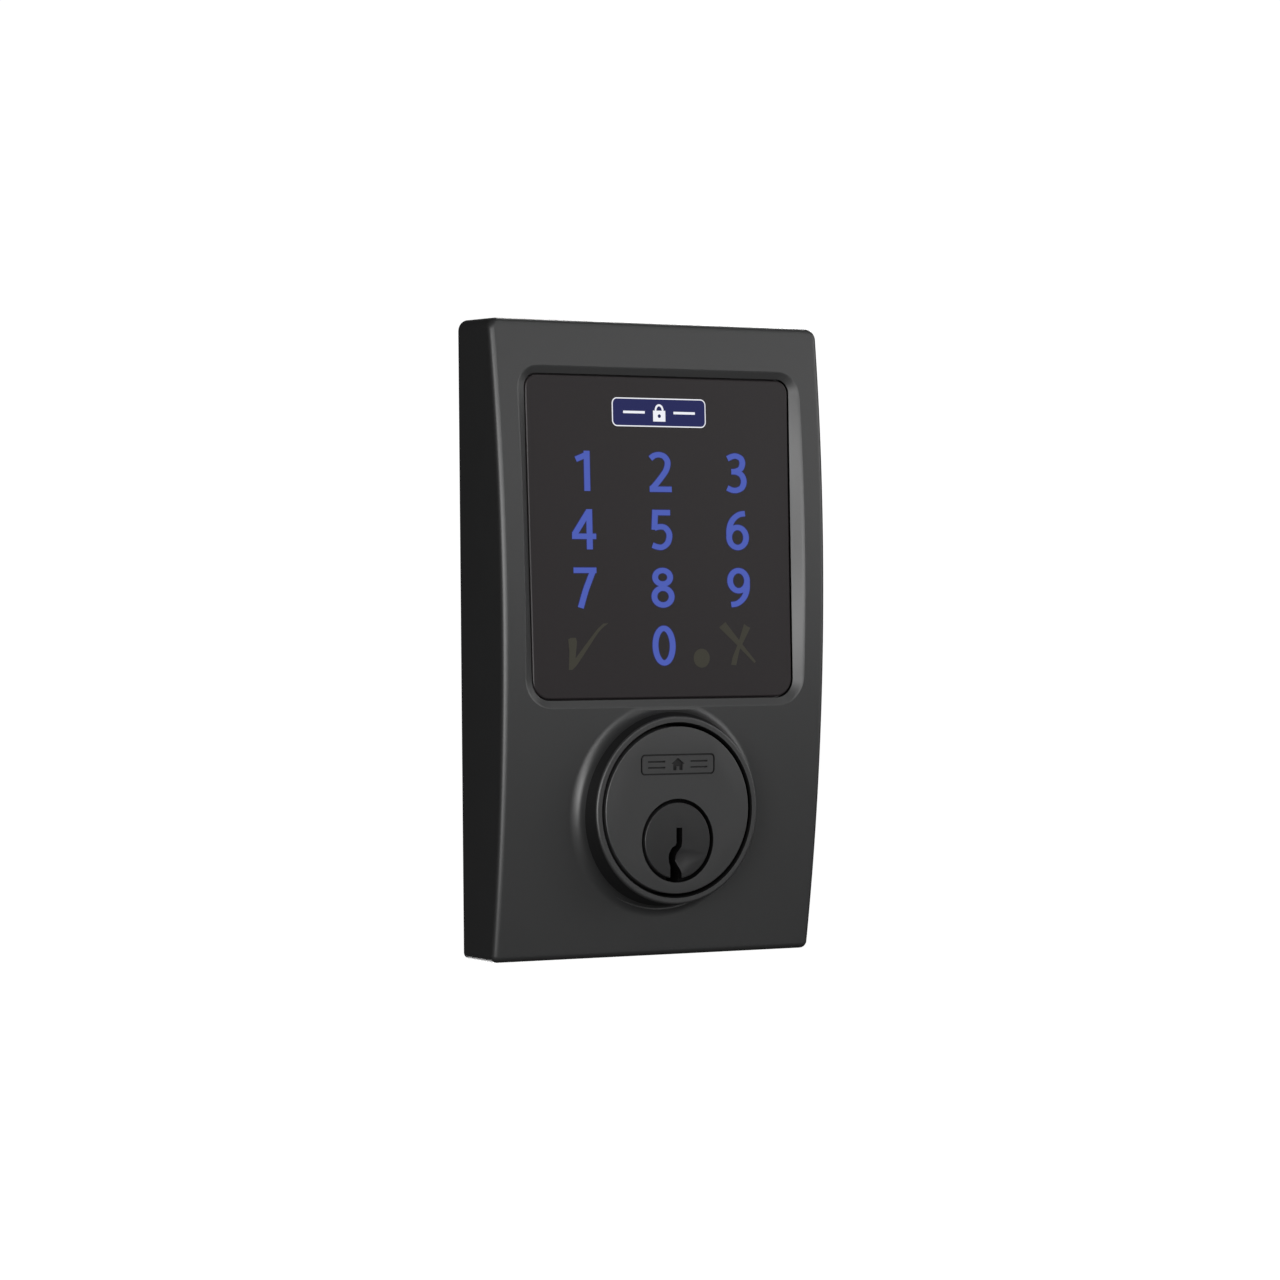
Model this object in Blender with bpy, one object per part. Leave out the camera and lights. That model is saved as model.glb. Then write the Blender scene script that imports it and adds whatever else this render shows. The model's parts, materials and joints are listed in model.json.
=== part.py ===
"""Outdoor module of a keypad deadbolt lock: touchscreen keypad above a key cylinder.

Metres. +Z is up, +X is to the right as the user faces the lock, and the front looks
along -Y. The origin is on the axis of the key plug, in the plane of the door face.
Run with: blender --background --python part.py
"""

from math import cos, pi, radians, sin, sqrt

import bmesh
import bpy
from mathutils import Matrix, Vector

# Driving sizes of the casing
BODY_WIDTH = 0.0762  # at mid-height
BODY_HEIGHT = 0.1282
BODY_DROP = 0.0238  # bottom edge below the plug axis
BODY_TAPER = 0.0116  # half-width gained for each metre of height
CROWN_DEPTH = 0.0172  # casing rim to the highest line of the front
CROWN_RISE = 0.0013  # highest line of the front above the middle
FRONT_RADIUS = 0.422  # the front is an arc about a level axis
EDGE_RADIUS = 0.00125  # rounding between the front and the sides
CORNER_RADII = (0.0014, 0.0023)  # lower and upper
LEAST_CORNER = 0.0012  # of an outline inside the casing
WALL = 0.0024
FOOT_WALL = 0.0031  # round the chamber of the lock cylinder
HEAD_WALL = 0.0036  # above the keypad chamber
CHAMBER_CORNER = 0.0020
SEAL_PROUD = 0.0003  # door seal behind the casing rim

# Key cylinder
FACE_DEPTH = 0.02114  # casing rim to the cylinder face
FACE_RADIUS = 0.01685
FACE_CHAMFER = 0.0004
PLUG_RADIUS = 0.00645
PLUG_LIP = 0.00122  # plug head past its body
PLUG_HEAD = 0.0013
PLUG_CHAMFER = 0.0003
POCKET_GAP = 0.00068  # round the plug head
PLUG_MARGIN = 0.00235  # cylinder face left below the plug pocket
COLLAR_GAP = 0.0006  # round the cylinder face
COLLAR_RIM = 0.00151  # width of the collar's rim
COLLAR_ROUND = 0.00046
COLLAR_FLARE = 0.00069  # the collar's foot past its rim
COLLAR_COVE = 0.0019
REAR_STEP = 0.00125  # rear body of the cylinder inside its face
FLANGE_STEP = 0.00255  # cylinder flange past the collar's bore
FLANGE_THICKNESS = 0.0040
TUBE_WALL = 0.0030  # casing round the collar's bore
STUB_STEP = 0.00145  # stub of the plug inside its body
PLUG_STUB = 0.0025
KEYWAY_END = 0.0015  # plug left behind the keyway
PIN_COUNT = 5
PIN_PITCH = 0.00397
FIRST_PIN = 0.0070  # behind the cylinder face
LAST_PIN = 0.00506  # last pin to the rear of the cylinder
PIN_RADIUS = 0.0014
PIN_EDGE = 0.0002
PIN_CONE = 0.0009
PIN_TIP_RADIUS = 0.0005
PIN_LENGTHS = (0.0044, 0.0052, 0.0048, 0.0058, 0.0050)
PIN_TOP_GAP = 0.00035  # key pins below the shear line
CHAMBER_FLOOR = -0.0015
DRIVER_LENGTH = 0.0046
SPRING_WIRE = 0.0002
SPRING_STEP = 0.00028  # coil's centre line inside the pin's radius
SPRING_TURNS = 6
STRIP_THICKNESS = 0.0015
STRIP_COVER = 0.00065  # rear body above the chamber strip
STRIP_MARGIN = 0.0030  # past the first and the last pin
STRIP_SIDE = 0.0006  # past the sides of the chambers
DRILL_PIN_RADIUS = 0.0012
DRILL_PIN_LENGTH = 0.0200
DRILL_PIN_SPOT = (0.0100, 0.0090)
DRILL_PIN_DEPTH = 0.0024  # behind the cylinder face
TAIL_LENGTH = 0.048
TAIL_WIDTH = 0.0065
TAIL_THICKNESS = 0.0020
TAIL_EDGE = 0.0004
HUB_STEP = 0.0016  # hub past the stub
HUB_THICKNESS = 0.0016
LOST_MOTION = radians(90)
LUG_ANGLE = radians(30)
LUG_SLACK = radians(3)
LUG_INNER = 0.0026
LUG_STEP = 0.0003  # lug inside the stub
PIVOT_RADIUS = 0.0016
PIVOT_DEPTH = 0.0020
RETAINER_SHELL = 0.0012

# Touch window
LENS_SIDE = 0.00745  # lens to the casing's side, at mid-height
LENS_HEAD = 0.0111  # lens to the casing's top
LENS_FOOT = 0.00349  # lens above the collar's rim
LENS_TAPER = 0.0077
LENS_CORNERS = (0.0038, 0.0026)  # lower and upper
LENS_RECESS_LOW = 0.00082  # below the front at the lens's lower edge
LENS_RECESS_HIGH = 0.00076  # and at its upper edge
LENS_THICKNESS = 0.0030
LENS_CHAMFER = 0.0003
LENS_FLANGE = 0.0018  # how far the flange reaches behind the casing
LENS_FLANGE_THICKNESS = 0.0011
BEVEL_WIDTH = 0.0020  # sloping border at the sides of the lens
BEVEL_HEIGHT = 0.0015  # and above and below it
LEDGE = 0.0012  # casing left in front of the lens flange
SEAL_THICKNESS = 0.0005
STACK_MARGIN = 0.0010  # film, mask and board inside the lens outline
FILM_THICKNESS = 0.0003
MASK_THICKNESS = 0.0018
BOARD_THICKNESS = 0.0012
LED_SHARE = 6 / 11  # of the width of the well it shines into
LED_TALL = 0.0020
LED_HEIGHT = 0.0007
LED_RISE = 0.0022  # above the middle of its row
CHIP_SIDE = 0.0090
CHIP_HEIGHT = 0.0011
SOCKET_SIZE = (0.0140, 0.0046)
SOCKET_WALL = 0.0010
SOCKET_HEIGHT = 0.0030
SOCKET_RISE = 0.0059  # above the lens's lower edge
BEEPER_RADIUS = 0.0050
BEEPER_HEIGHT = 0.0030
BEEPER_HOLE = 0.0012
BEEPER_SIDE = 0.01165  # from the lens's side
BEEPER_RISE = 0.0144

# Key layout on the touch window
KEY_SIDE = 0.01249  # lens side to the middle of the outer keys, at mid-height
KEY_HEAD = 0.0191  # lens top to the middle of the top row
KEY_FOOT = 0.01053  # lens bottom to the middle of the bottom row
WELL_RIB = (0.00716, 0.00249)  # mask left between the wells, across and up
WELL_CORNER = 0.0010
BADGE_WELL = (0.0230, 0.0066)
BADGE_HEAD = 0.0065  # lens top to the middle of the badge

# Rear closing parts and fixings
RIM_WALL = 0.0016
REAR_PLATE = 0.0016  # steel plate and plastic cover
PLATE_CORNER = 0.0016
SEAL_DEPTH = 0.0023
SEAL_WIDTH = 0.0030
PARTITION = 0.0035  # wall between the two chambers
PARTITION_DROP = 0.0021  # its top below the lens
SPLIT_DROP = 0.0013  # line between plate and cover below the partition
POST_RADIUS = 0.0026
POST_BOSS = 0.0039
POST_EDGE = 0.0004
POST_TAP_RADIUS = 0.0017
POST_TAP_FLOOR = 0.0080
POST_TAIL = 0.0140
POST_DEPTH = 0.0108
SCREW_RADIUS = 0.0011
SCREW_HEAD_RADIUS = 0.0021
SCREW_HEAD = 0.0012
SCREW_LENGTH = 0.0060
SCREW_SOCKET_RADIUS = 0.00085
CYLINDER_SCREW_LENGTH = 0.0050
PLATE_SCREW_SIDE = 0.0086  # in from the casing's side at mid-height
PLATE_BOSS_WALL = 0.0020
COVER_BOSS_WALL = 0.0012
CABLE_HOLE_RADIUS = 0.0019
CABLE_HOLE_RISE = 0.0055  # above the partition
GROMMET_WALL = 0.0012
GROMMET_LIP = 0.0009

# Clearances
PART_GAP = 0.0001  # between flat faces that touch
SIDE_GAP = 0.0003  # round the edge of a part that drops into another
BORE_GAP = 0.00025  # radius of a hole over its screw or post
RUN_GAP = 0.0001  # radius of a bore over what turns in it
OVERLAP = 0.0005  # shared by two shapes that are joined, or past a face that is cut

# Mesh fineness
CORNER_STEPS = 4
LEVELS = 12
EDGE_STEPS = 4
FINE = 56
COARSE = 16

# Places and sizes that follow from the ones above
REAR_Y = -SEAL_PROUD
BODY_LOW = -BODY_DROP
BODY_HIGH = BODY_HEIGHT - BODY_DROP
BODY_RISE = (BODY_LOW + BODY_HIGH) / 2
FACE_Y = REAR_Y - FACE_DEPTH
PLATE_Y = -SEAL_DEPTH - PART_GAP  # rear faces of the plate and of the cover
PLATE_FRONT_Y = PLATE_Y - REAR_PLATE
STEP_Y = PLATE_FRONT_Y - PART_GAP  # ledge in the casing that carries them
FLANGE_Y = PLATE_FRONT_Y - PART_GAP  # rear of the cylinder flange
FLANGE_FRONT_Y = FLANGE_Y - FLANGE_THICKNESS
BORE_END_Y = FLANGE_FRONT_Y - PART_GAP

PLUG_FACE_RADIUS = PLUG_RADIUS + PLUG_LIP
PLUG_POCKET_RADIUS = PLUG_FACE_RADIUS + POCKET_GAP
PLUG_STUB_RADIUS = PLUG_RADIUS - STUB_STEP
CYLINDER_RISE = FACE_RADIUS - PLUG_POCKET_RADIUS - PLUG_MARGIN
COLLAR_BORE = FACE_RADIUS + COLLAR_GAP
COLLAR_RIM_RADIUS = COLLAR_BORE + COLLAR_RIM
COLLAR_FOOT_RADIUS = COLLAR_RIM_RADIUS + COLLAR_FLARE
REAR_BODY_RADIUS = FACE_RADIUS - REAR_STEP
FLANGE_RADIUS = COLLAR_BORE + FLANGE_STEP
HOUSING_TAIL = FACE_Y + FIRST_PIN + PIN_PITCH * (PIN_COUNT - 1) + LAST_PIN
STUB_END_Y = HOUSING_TAIL + PLUG_STUB
SHEAR_Z = PLUG_RADIUS + RUN_GAP
KEY_PIN_TOP = SHEAR_Z - PIN_TOP_GAP
DRIVER_FOOT = SHEAR_Z + PART_GAP
CHAMBER_RADIUS = PIN_RADIUS + PART_GAP
SPRING_RADIUS = PIN_RADIUS - SPRING_STEP
STRIP_TOP = CYLINDER_RISE + REAR_BODY_RADIUS - STRIP_COVER
STRIP_Z = STRIP_TOP - STRIP_THICKNESS
STRIP_WIDTH = 2 * (CHAMBER_RADIUS + STRIP_SIDE)
HUB_Y = STUB_END_Y + SIDE_GAP
HUB_RADIUS = PLUG_STUB_RADIUS + HUB_STEP
LUG_OUTER = PLUG_STUB_RADIUS - LUG_STEP

LENS_HALF_WIDTH = BODY_WIDTH / 2 - LENS_SIDE
LENS_LOW = CYLINDER_RISE + COLLAR_RIM_RADIUS + LENS_FOOT
LENS_HIGH = BODY_HIGH - LENS_HEAD
FILM_NEAR = LENS_THICKNESS + PART_GAP
MASK_NEAR = FILM_NEAR + FILM_THICKNESS + PART_GAP
BOARD_NEAR = MASK_NEAR + MASK_THICKNESS + PART_GAP
BOARD_FAR = BOARD_NEAR + BOARD_THICKNESS
KEY_ROWS = 4
KEY_PITCH_X = LENS_HALF_WIDTH - KEY_SIDE
KEY_PITCH_Z = (LENS_HIGH - KEY_HEAD - LENS_LOW - KEY_FOOT) / (KEY_ROWS - 1)
KEY_TOP_Z = LENS_HIGH - KEY_HEAD
WELL_WIDTH = KEY_PITCH_X - WELL_RIB[0]
WELL_HEIGHT = KEY_PITCH_Z - WELL_RIB[1]
BADGE_Z = LENS_HIGH - BADGE_HEAD

PARTITION_HIGH = LENS_LOW - PARTITION_DROP
PARTITION_LOW = PARTITION_HIGH - PARTITION
POST_X = FLANGE_RADIUS + POST_BOSS - PART_GAP
CABLE_HOLE_Z = PARTITION_HIGH + CABLE_HOLE_RISE
GROMMET_NECK = CABLE_HOLE_RADIUS + GROMMET_WALL


def mirrored(side, z):
    """The two spots at height z that lie side in from the casing's sides at mid-height."""
    x = BODY_WIDTH / 2 - side
    return [(-x, z), (x, z)]


SCREW_SPOTS_HEAD = mirrored(0.0071, BODY_HIGH - 0.0075)
SCREW_SPOTS_COVER = SCREW_SPOTS_HEAD + mirrored(0.0091, PARTITION_LOW + 0.0010)
SCREW_SPOTS_PLATE = [
    *mirrored(PLATE_SCREW_SIDE, BODY_LOW + 0.0083),
    *mirrored(PLATE_SCREW_SIDE, PARTITION_LOW - 0.0070),
]
SCREW_SPOTS_CYLINDER = [
    (side * (REAR_BODY_RADIUS + FLANGE_RADIUS + SIDE_GAP + PART_GAP) / 2, CYLINDER_RISE)
    for side in (-1, 1)
]

# Colours are (red, green, blue, roughness, metallic)
FINISHES = {
    "black_coated_zinc": (0.022, 0.022, 0.023, 0.55, 0.2),
    "black_glass": (0.012, 0.011, 0.013, 0.18, 0.0),
    "grey_foam": (0.06, 0.06, 0.06, 0.9, 0.0),
    "clear_film": (0.55, 0.6, 0.58, 0.3, 0.0),
    "white_plastic": (0.75, 0.75, 0.73, 0.5, 0.0),
    "green_board": (0.015, 0.11, 0.04, 0.4, 0.0),
    "chip_black": (0.02, 0.02, 0.02, 0.5, 0.0),
    "cream_nylon": (0.62, 0.58, 0.45, 0.5, 0.0),
    "led_yellow": (0.75, 0.68, 0.3, 0.35, 0.0),
    "black_plastic": (0.03, 0.03, 0.03, 0.6, 0.0),
    "black_rubber": (0.015, 0.015, 0.015, 0.85, 0.0),
    "zinc_steel": (0.45, 0.46, 0.48, 0.35, 1.0),
    "hard_steel": (0.28, 0.28, 0.3, 0.3, 1.0),
    "brass": (0.6, 0.44, 0.17, 0.3, 1.0),
    "spring_steel": (0.5, 0.5, 0.52, 0.25, 1.0),
}


def clear_scene():
    for obj in list(bpy.data.objects):
        bpy.data.objects.remove(obj, do_unlink=True)


def finish(name):
    """The material called name, made once from FINISHES."""
    made = bpy.data.materials.get(name)
    if made:
        return made
    made = bpy.data.materials.new(name)
    made.use_nodes = True
    red, green, blue, rough, metal = FINISHES[name]
    shader = made.node_tree.nodes["Principled BSDF"]
    shader.inputs["Base Color"].default_value = (red, green, blue, 1.0)
    shader.inputs["Roughness"].default_value = rough
    shader.inputs["Metallic"].default_value = metal
    made.diffuse_color = (red, green, blue, 1.0)
    return made


def make(name, mesh, look, origin=(0.0, 0.0, 0.0)):
    """An object from a bmesh in world metres, with its origin at origin."""
    bmesh.ops.recalc_face_normals(mesh, faces=mesh.faces)
    bmesh.ops.translate(mesh, verts=mesh.verts, vec=-Vector(origin))
    data = bpy.data.meshes.new(name)
    mesh.to_mesh(data)
    mesh.free()
    obj = bpy.data.objects.new(name, data)
    obj.location = origin
    obj.data.materials.append(finish(look))
    bpy.context.scene.collection.objects.link(obj)
    return obj


def cutter(mesh):
    """A helper object that only shapes another one."""
    obj = make("cutter", mesh, "black_plastic")
    obj.hide_render = True
    obj.display_type = "WIRE"
    return obj


def combine(obj, mesh, operation="DIFFERENCE"):
    """Cut the bmesh from obj, or join it on with operation UNION."""
    tool = cutter(mesh)
    modifier = obj.modifiers.new("shape", "BOOLEAN")
    modifier.operation = operation
    modifier.solver = "EXACT"
    modifier.object = tool
    graph = bpy.context.evaluated_depsgraph_get()
    data = bpy.data.meshes.new_from_object(obj.evaluated_get(graph))
    obj.modifiers.clear()
    old = obj.data
    obj.data = data
    data.name = obj.name
    bpy.data.meshes.remove(old)
    bpy.data.objects.remove(tool, do_unlink=True)
    return obj


# Outlines and depths


def front_y(z):
    """The front of the casing at height z."""
    rise = z - BODY_RISE - CROWN_RISE
    return REAR_Y - CROWN_DEPTH + FRONT_RADIUS - sqrt(FRONT_RADIUS**2 - rise**2)


def lens_y(z):
    """The front of the lens at height z."""
    low = front_y(LENS_LOW) + LENS_RECESS_LOW
    high = front_y(LENS_HIGH) + LENS_RECESS_HIGH
    return low + (high - low) * (z - LENS_LOW) / (LENS_HIGH - LENS_LOW)


def outline(half_width, low, high, corner, levels=LEVELS, taper=BODY_TAPER):
    """A rounded outline that widens upwards by taper, as (x, z) pairs.

    The right side runs from the bottom to the top, then the left side runs back, so
    point i is level with point -1 - i. corner is one radius, or a lower and an upper one.
    """
    below, above = corner if isinstance(corner, tuple) else (corner, corner)
    below, above = max(below, 1e-5), max(above, 1e-5)
    points = []
    for radius, centre_z, start in ((below, low + below, -pi / 2), (above, high - above, 0.0)):
        centre_x = half_width + taper * (centre_z - BODY_RISE) - radius
        for step in range(CORNER_STEPS + 1):
            angle = start + pi / 2 * step / CORNER_STEPS
            points.append((centre_x + radius * cos(angle), centre_z + radius * sin(angle)))
        if start < 0.0:
            for level in range(1, levels):
                z = low + below + (high - low - below - above) * level / levels
                points.append((half_width + taper * (z - BODY_RISE), z))
    return points + [(-x, z) for x, z in reversed(points)]


def small_outline(width, height, x, z, corner=0.0003):
    """A rounded rectangle about (x, z)."""
    corners = outline(width / 2, z - height / 2, z + height / 2, corner, 1, 0.0)
    return [(x + px, pz) for px, pz in corners]


def ring(points, depth):
    """The outline's points at the y that depth gives for their z."""
    return [(x, depth(z), z) for x, z in points]


def level(y):
    return lambda z: y


def is_flat(points):
    """Whether y changes evenly with z over the points."""
    (_, y0, z0), (_, y1, z1) = min(points, key=lambda p: p[2]), max(points, key=lambda p: p[2])
    return all(abs(y - y0 - (y1 - y0) * (z - z0) / (z1 - z0)) < 1e-7 for _, y, z in points)


def loft(rings):
    """A closed bmesh through rings of equal length: a curved end gets a ladder of faces."""
    mesh = bmesh.new()
    rows = [[mesh.verts.new(point) for point in points] for points in rings]
    count = len(rows[0])
    for first, second in zip(rows, rows[1:]):
        for i in range(count):
            j = (i + 1) % count
            mesh.faces.new((first[i], first[j], second[j], second[i]))
    for row, points in ((rows[0], rings[0]), (rows[-1], rings[-1])):
        if is_flat(points):
            mesh.faces.new(row)
            continue
        for i in range(count // 2 - 1):
            mesh.faces.new((row[i], row[i + 1], row[-2 - i], row[-1 - i]))
    return mesh


def frame(outer, inner, front, rear):
    """A closed bmesh of a flat frame between two outlines and two depths."""
    mesh = bmesh.new()
    rows = [
        [mesh.verts.new(point) for point in ring(points, depth)]
        for points, depth in ((outer, front), (inner, front), (inner, rear), (outer, rear))
    ]
    count = len(outer)
    for first, second in zip(rows, rows[1:] + rows[:1]):
        for i in range(count):
            j = (i + 1) % count
            mesh.faces.new((first[i], first[j], second[j], second[i]))
    return mesh


def revolve(profile, centre=(0.0, 0.0), along="Y", segments=COARSE, closed=False, turn=0.0):
    """A closed bmesh of (radius, height) pairs turned about a Y or Z axis.

    centre is the axis's (x, z) for Y and (x, y) for Z. A closed profile makes a ring.
    """
    mesh = bmesh.new()
    rows = []
    for radius, height in profile:
        if radius == 0.0:
            rows.append([mesh.verts.new((0.0, 0.0, height))])
            continue
        angles = [turn + 2 * pi * i / segments for i in range(segments)]
        rows.append(
            [mesh.verts.new((radius * cos(a), radius * sin(a), height)) for a in angles]
        )
    pairs = list(zip(rows, rows[1:]))
    if closed:
        pairs.append((rows[-1], rows[0]))
    for first, second in pairs:
        for i in range(segments):
            j = (i + 1) % segments
            corners = [first[i % len(first)], first[j % len(first)]]
            corners += [second[j % len(second)], second[i % len(second)]]
            mesh.faces.new(list(dict.fromkeys(corners)))
    if not closed:
        for row in (rows[0], rows[-1]):
            if len(row) > 1:
                mesh.faces.new(row)
    if along == "Y":
        spin = Matrix(((1, 0, 0), (0, 0, 1), (0, 1, 0))).to_4x4()
        shift = Matrix.Translation((centre[0], 0.0, centre[1]))
        bmesh.ops.transform(mesh, matrix=shift @ spin, verts=mesh.verts)
    else:
        bmesh.ops.translate(mesh, verts=mesh.verts, vec=(centre[0], centre[1], 0.0))
    return mesh


def rod(radius, start, end, centre=(0.0, 0.0), along="Y", segments=COARSE, turn=0.0):
    return revolve([(radius, start), (radius, end)], centre, along, segments, turn=turn)


def prism(points, start, end):
    """A closed bmesh of an (x, z) outline drawn out along Y."""
    mesh = bmesh.new()
    base = mesh.faces.new([mesh.verts.new((x, start, z)) for x, z in points])
    grown = bmesh.ops.extrude_face_region(mesh, geom=[base])
    moved = [item for item in grown["geom"] if isinstance(item, bmesh.types.BMVert)]
    bmesh.ops.translate(mesh, verts=moved, vec=(0.0, end - start, 0.0))
    return mesh


def block(width, front, rear, low, high, x=0.0):
    corners = [(x - width / 2, low), (x + width / 2, low)]
    corners += [(x + width / 2, high), (x - width / 2, high)]
    return prism(corners, front, rear)


def slab(points, near, far):
    """A closed bmesh on an outline, following the lens at depths near to far behind it."""
    return loft([ring(points, lambda z: lens_y(z) + near), ring(points, lambda z: lens_y(z) + far)])


def merged(parts):
    """One bmesh from several that don't touch."""
    mesh = bmesh.new()
    for part in parts:
        data = bpy.data.meshes.new("part")
        part.to_mesh(data)
        part.free()
        mesh.from_mesh(data)
        bpy.data.meshes.remove(data)
    return mesh


def body_outline(inset, low=None, high=None, corner=None):
    """The casing's outline drawn in by inset, or a stretch of it."""
    if corner is None:
        corner = tuple(max(radius - inset, LEAST_CORNER) for radius in CORNER_RADII)
    low = BODY_LOW + inset if low is None else low
    high = BODY_HIGH - inset if high is None else high
    return outline(BODY_WIDTH / 2 - inset, low, high, corner)


def lens_outline(outset, levels=LEVELS, rise=None):
    """The lens's outline drawn out by outset at its sides and by rise above and below."""
    rise = outset if rise is None else rise
    return outline(
        LENS_HALF_WIDTH + outset,
        LENS_LOW - rise,
        LENS_HIGH + rise,
        tuple(corner + outset for corner in LENS_CORNERS),
        levels,
        LENS_TAPER,
    )


# Casing


def collar():
    """The raised collar round the cylinder, with a cove that runs out on the front."""
    mesh = bmesh.new()
    steps = 4
    cove = [(COLLAR_FOOT_RADIUS + COLLAR_COVE + OVERLAP, -0.0001)]
    for step in range(1, steps + 1):
        angle = pi / 2 * step / steps
        out = COLLAR_FOOT_RADIUS + COLLAR_COVE * (1 - sin(angle))
        cove.append((out, COLLAR_COVE * (1 - cos(angle))))
    inner = COLLAR_BORE - 2 * OVERLAP
    rows = []
    for radius, rise in cove:
        rows.append([(radius, rise, True)] * FINE)
    rows.append([(COLLAR_RIM_RADIUS, FACE_Y + COLLAR_ROUND, False)] * FINE)
    rows.append([(COLLAR_RIM_RADIUS - COLLAR_ROUND, FACE_Y, False)] * FINE)
    rows.append([(inner, FACE_Y, False)] * FINE)
    rows.append([(inner, REAR_Y - CROWN_DEPTH / 2, False)] * FINE)
    rows.append([(cove[0][0], REAR_Y - CROWN_DEPTH / 2, False)] * FINE)
    made = []
    for row in rows:
        line = []
        for i, (radius, place, on_front) in enumerate(row):
            angle = 2 * pi * i / FINE
            x = radius * cos(angle)
            z = CYLINDER_RISE + radius * sin(angle)
            y = front_y(z) - place if on_front else place
            line.append(mesh.verts.new((x, y, z)))
        made.append(line)
    for first, second in zip(made, made[1:] + made[:1]):
        for i in range(FINE):
            j = (i + 1) % FINE
            mesh.faces.new((first[i], first[j], second[j], second[i]))
    return mesh


def window():
    """What is cut away for the lens: the opening, then the sloping border in front of it."""
    opening = lens_outline(SIDE_GAP)
    inner = ring(opening, lens_y)
    border = lens_outline(SIDE_GAP + BEVEL_WIDTH, rise=SIDE_GAP + BEVEL_HEIGHT)
    outer = ring(border, front_y)
    past = 1.6
    beyond = [Vector(a).lerp(Vector(b), past) for a, b in zip(inner, outer)]
    return loft([ring(opening, lambda z: lens_y(z) + LEDGE + OVERLAP), inner, beyond])


def boss(spot, radius):
    """A boss from inside the front wall to the ledge that carries the rear parts."""
    x, z = spot
    return rod(radius, front_y(z) + WALL / 2, STEP_Y, (x, z))


def make_casing():
    rings = [ring(body_outline(0.0), level(REAR_Y))]
    for step in range(EDGE_STEPS + 1):
        angle = pi / 2 * step / EDGE_STEPS
        inset = EDGE_RADIUS * (1 - cos(angle))
        drop = EDGE_RADIUS * (1 - sin(angle))
        points = outline(
            BODY_WIDTH / 2 - inset,
            BODY_LOW + inset,
            BODY_HIGH - inset,
            tuple(radius - inset for radius in CORNER_RADII),
        )
        rings.append(ring(points, lambda z, drop=drop: front_y(z) + drop))
    casing = make("casing", loft(rings), "black_coated_zinc")
    combine(casing, collar(), "UNION")

    chamber = body_outline(WALL, PARTITION_HIGH, BODY_HIGH - HEAD_WALL, CHAMBER_CORNER)
    combine(
        casing,
        loft([ring(chamber, lambda z: lens_y(z) + LEDGE), ring(chamber, level(REAR_Y + OVERLAP))]),
    )
    chamber = body_outline(FOOT_WALL, BODY_LOW + FOOT_WALL, PARTITION_LOW, CHAMBER_CORNER)
    combine(
        casing,
        loft([ring(chamber, lambda z: front_y(z) + WALL), ring(chamber, level(REAR_Y + OVERLAP))]),
    )
    combine(
        casing,
        rod(
            COLLAR_BORE + TUBE_WALL,
            front_y(CYLINDER_RISE) + WALL / 2,
            BORE_END_Y,
            (0.0, CYLINDER_RISE),
            segments=FINE,
        ),
        "UNION",
    )
    for spot in SCREW_SPOTS_PLATE:
        combine(casing, boss(spot, SCREW_RADIUS + PLATE_BOSS_WALL), "UNION")
    for side in (-1, 1):
        combine(casing, boss((side * POST_X, 0.0), POST_BOSS), "UNION")
    for spot in SCREW_SPOTS_HEAD:
        combine(casing, boss(spot, SCREW_RADIUS + COVER_BOSS_WALL), "UNION")

    rear = body_outline(RIM_WALL)
    combine(casing, loft([ring(rear, level(STEP_Y)), ring(rear, level(REAR_Y + OVERLAP))]))
    combine(
        casing,
        rod(
            COLLAR_BORE,
            FACE_Y - OVERLAP,
            BORE_END_Y + OVERLAP,
            (0.0, CYLINDER_RISE),
            segments=FINE,
            turn=pi / FINE,
        ),
    )
    combine(casing, window())
    for x, z in SCREW_SPOTS_COVER + SCREW_SPOTS_PLATE:
        hole = rod(
            SCREW_RADIUS + BORE_GAP, PLATE_Y - SCREW_LENGTH - OVERLAP, STEP_Y + OVERLAP, (x, z)
        )
        combine(casing, hole)
    for side in (-1, 1):
        hole = rod(
            POST_RADIUS + BORE_GAP, -POST_DEPTH - PART_GAP, STEP_Y + OVERLAP, (side * POST_X, 0.0)
        )
        combine(casing, hole)
    return casing


# Keypad stack


def make_lens():
    flange = LENS_THICKNESS - LENS_FLANGE_THICKNESS

    def at(outset, depth):
        return ring(lens_outline(outset), lambda z: lens_y(z) + depth)

    rings = [at(-LENS_CHAMFER, 0.0), at(0.0, LENS_CHAMFER), at(0.0, flange)]
    rings += [at(LENS_FLANGE, flange), at(LENS_FLANGE, LENS_THICKNESS)]
    make("touch_lens", loft(rings), "black_glass")


def make_lens_seal():
    near = LEDGE + PART_GAP
    mesh = frame(
        lens_outline(LENS_FLANGE - PART_GAP),
        lens_outline(SIDE_GAP),
        lambda z: lens_y(z) + near,
        lambda z: lens_y(z) + near + SEAL_THICKNESS,
    )
    make("lens_seal", mesh, "grey_foam")


def key_spots():
    """(x, z) of each of the twelve keys."""
    for row in range(KEY_ROWS):
        for column in (-1, 0, 1):
            yield column * KEY_PITCH_X, KEY_TOP_Z - row * KEY_PITCH_Z


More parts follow.
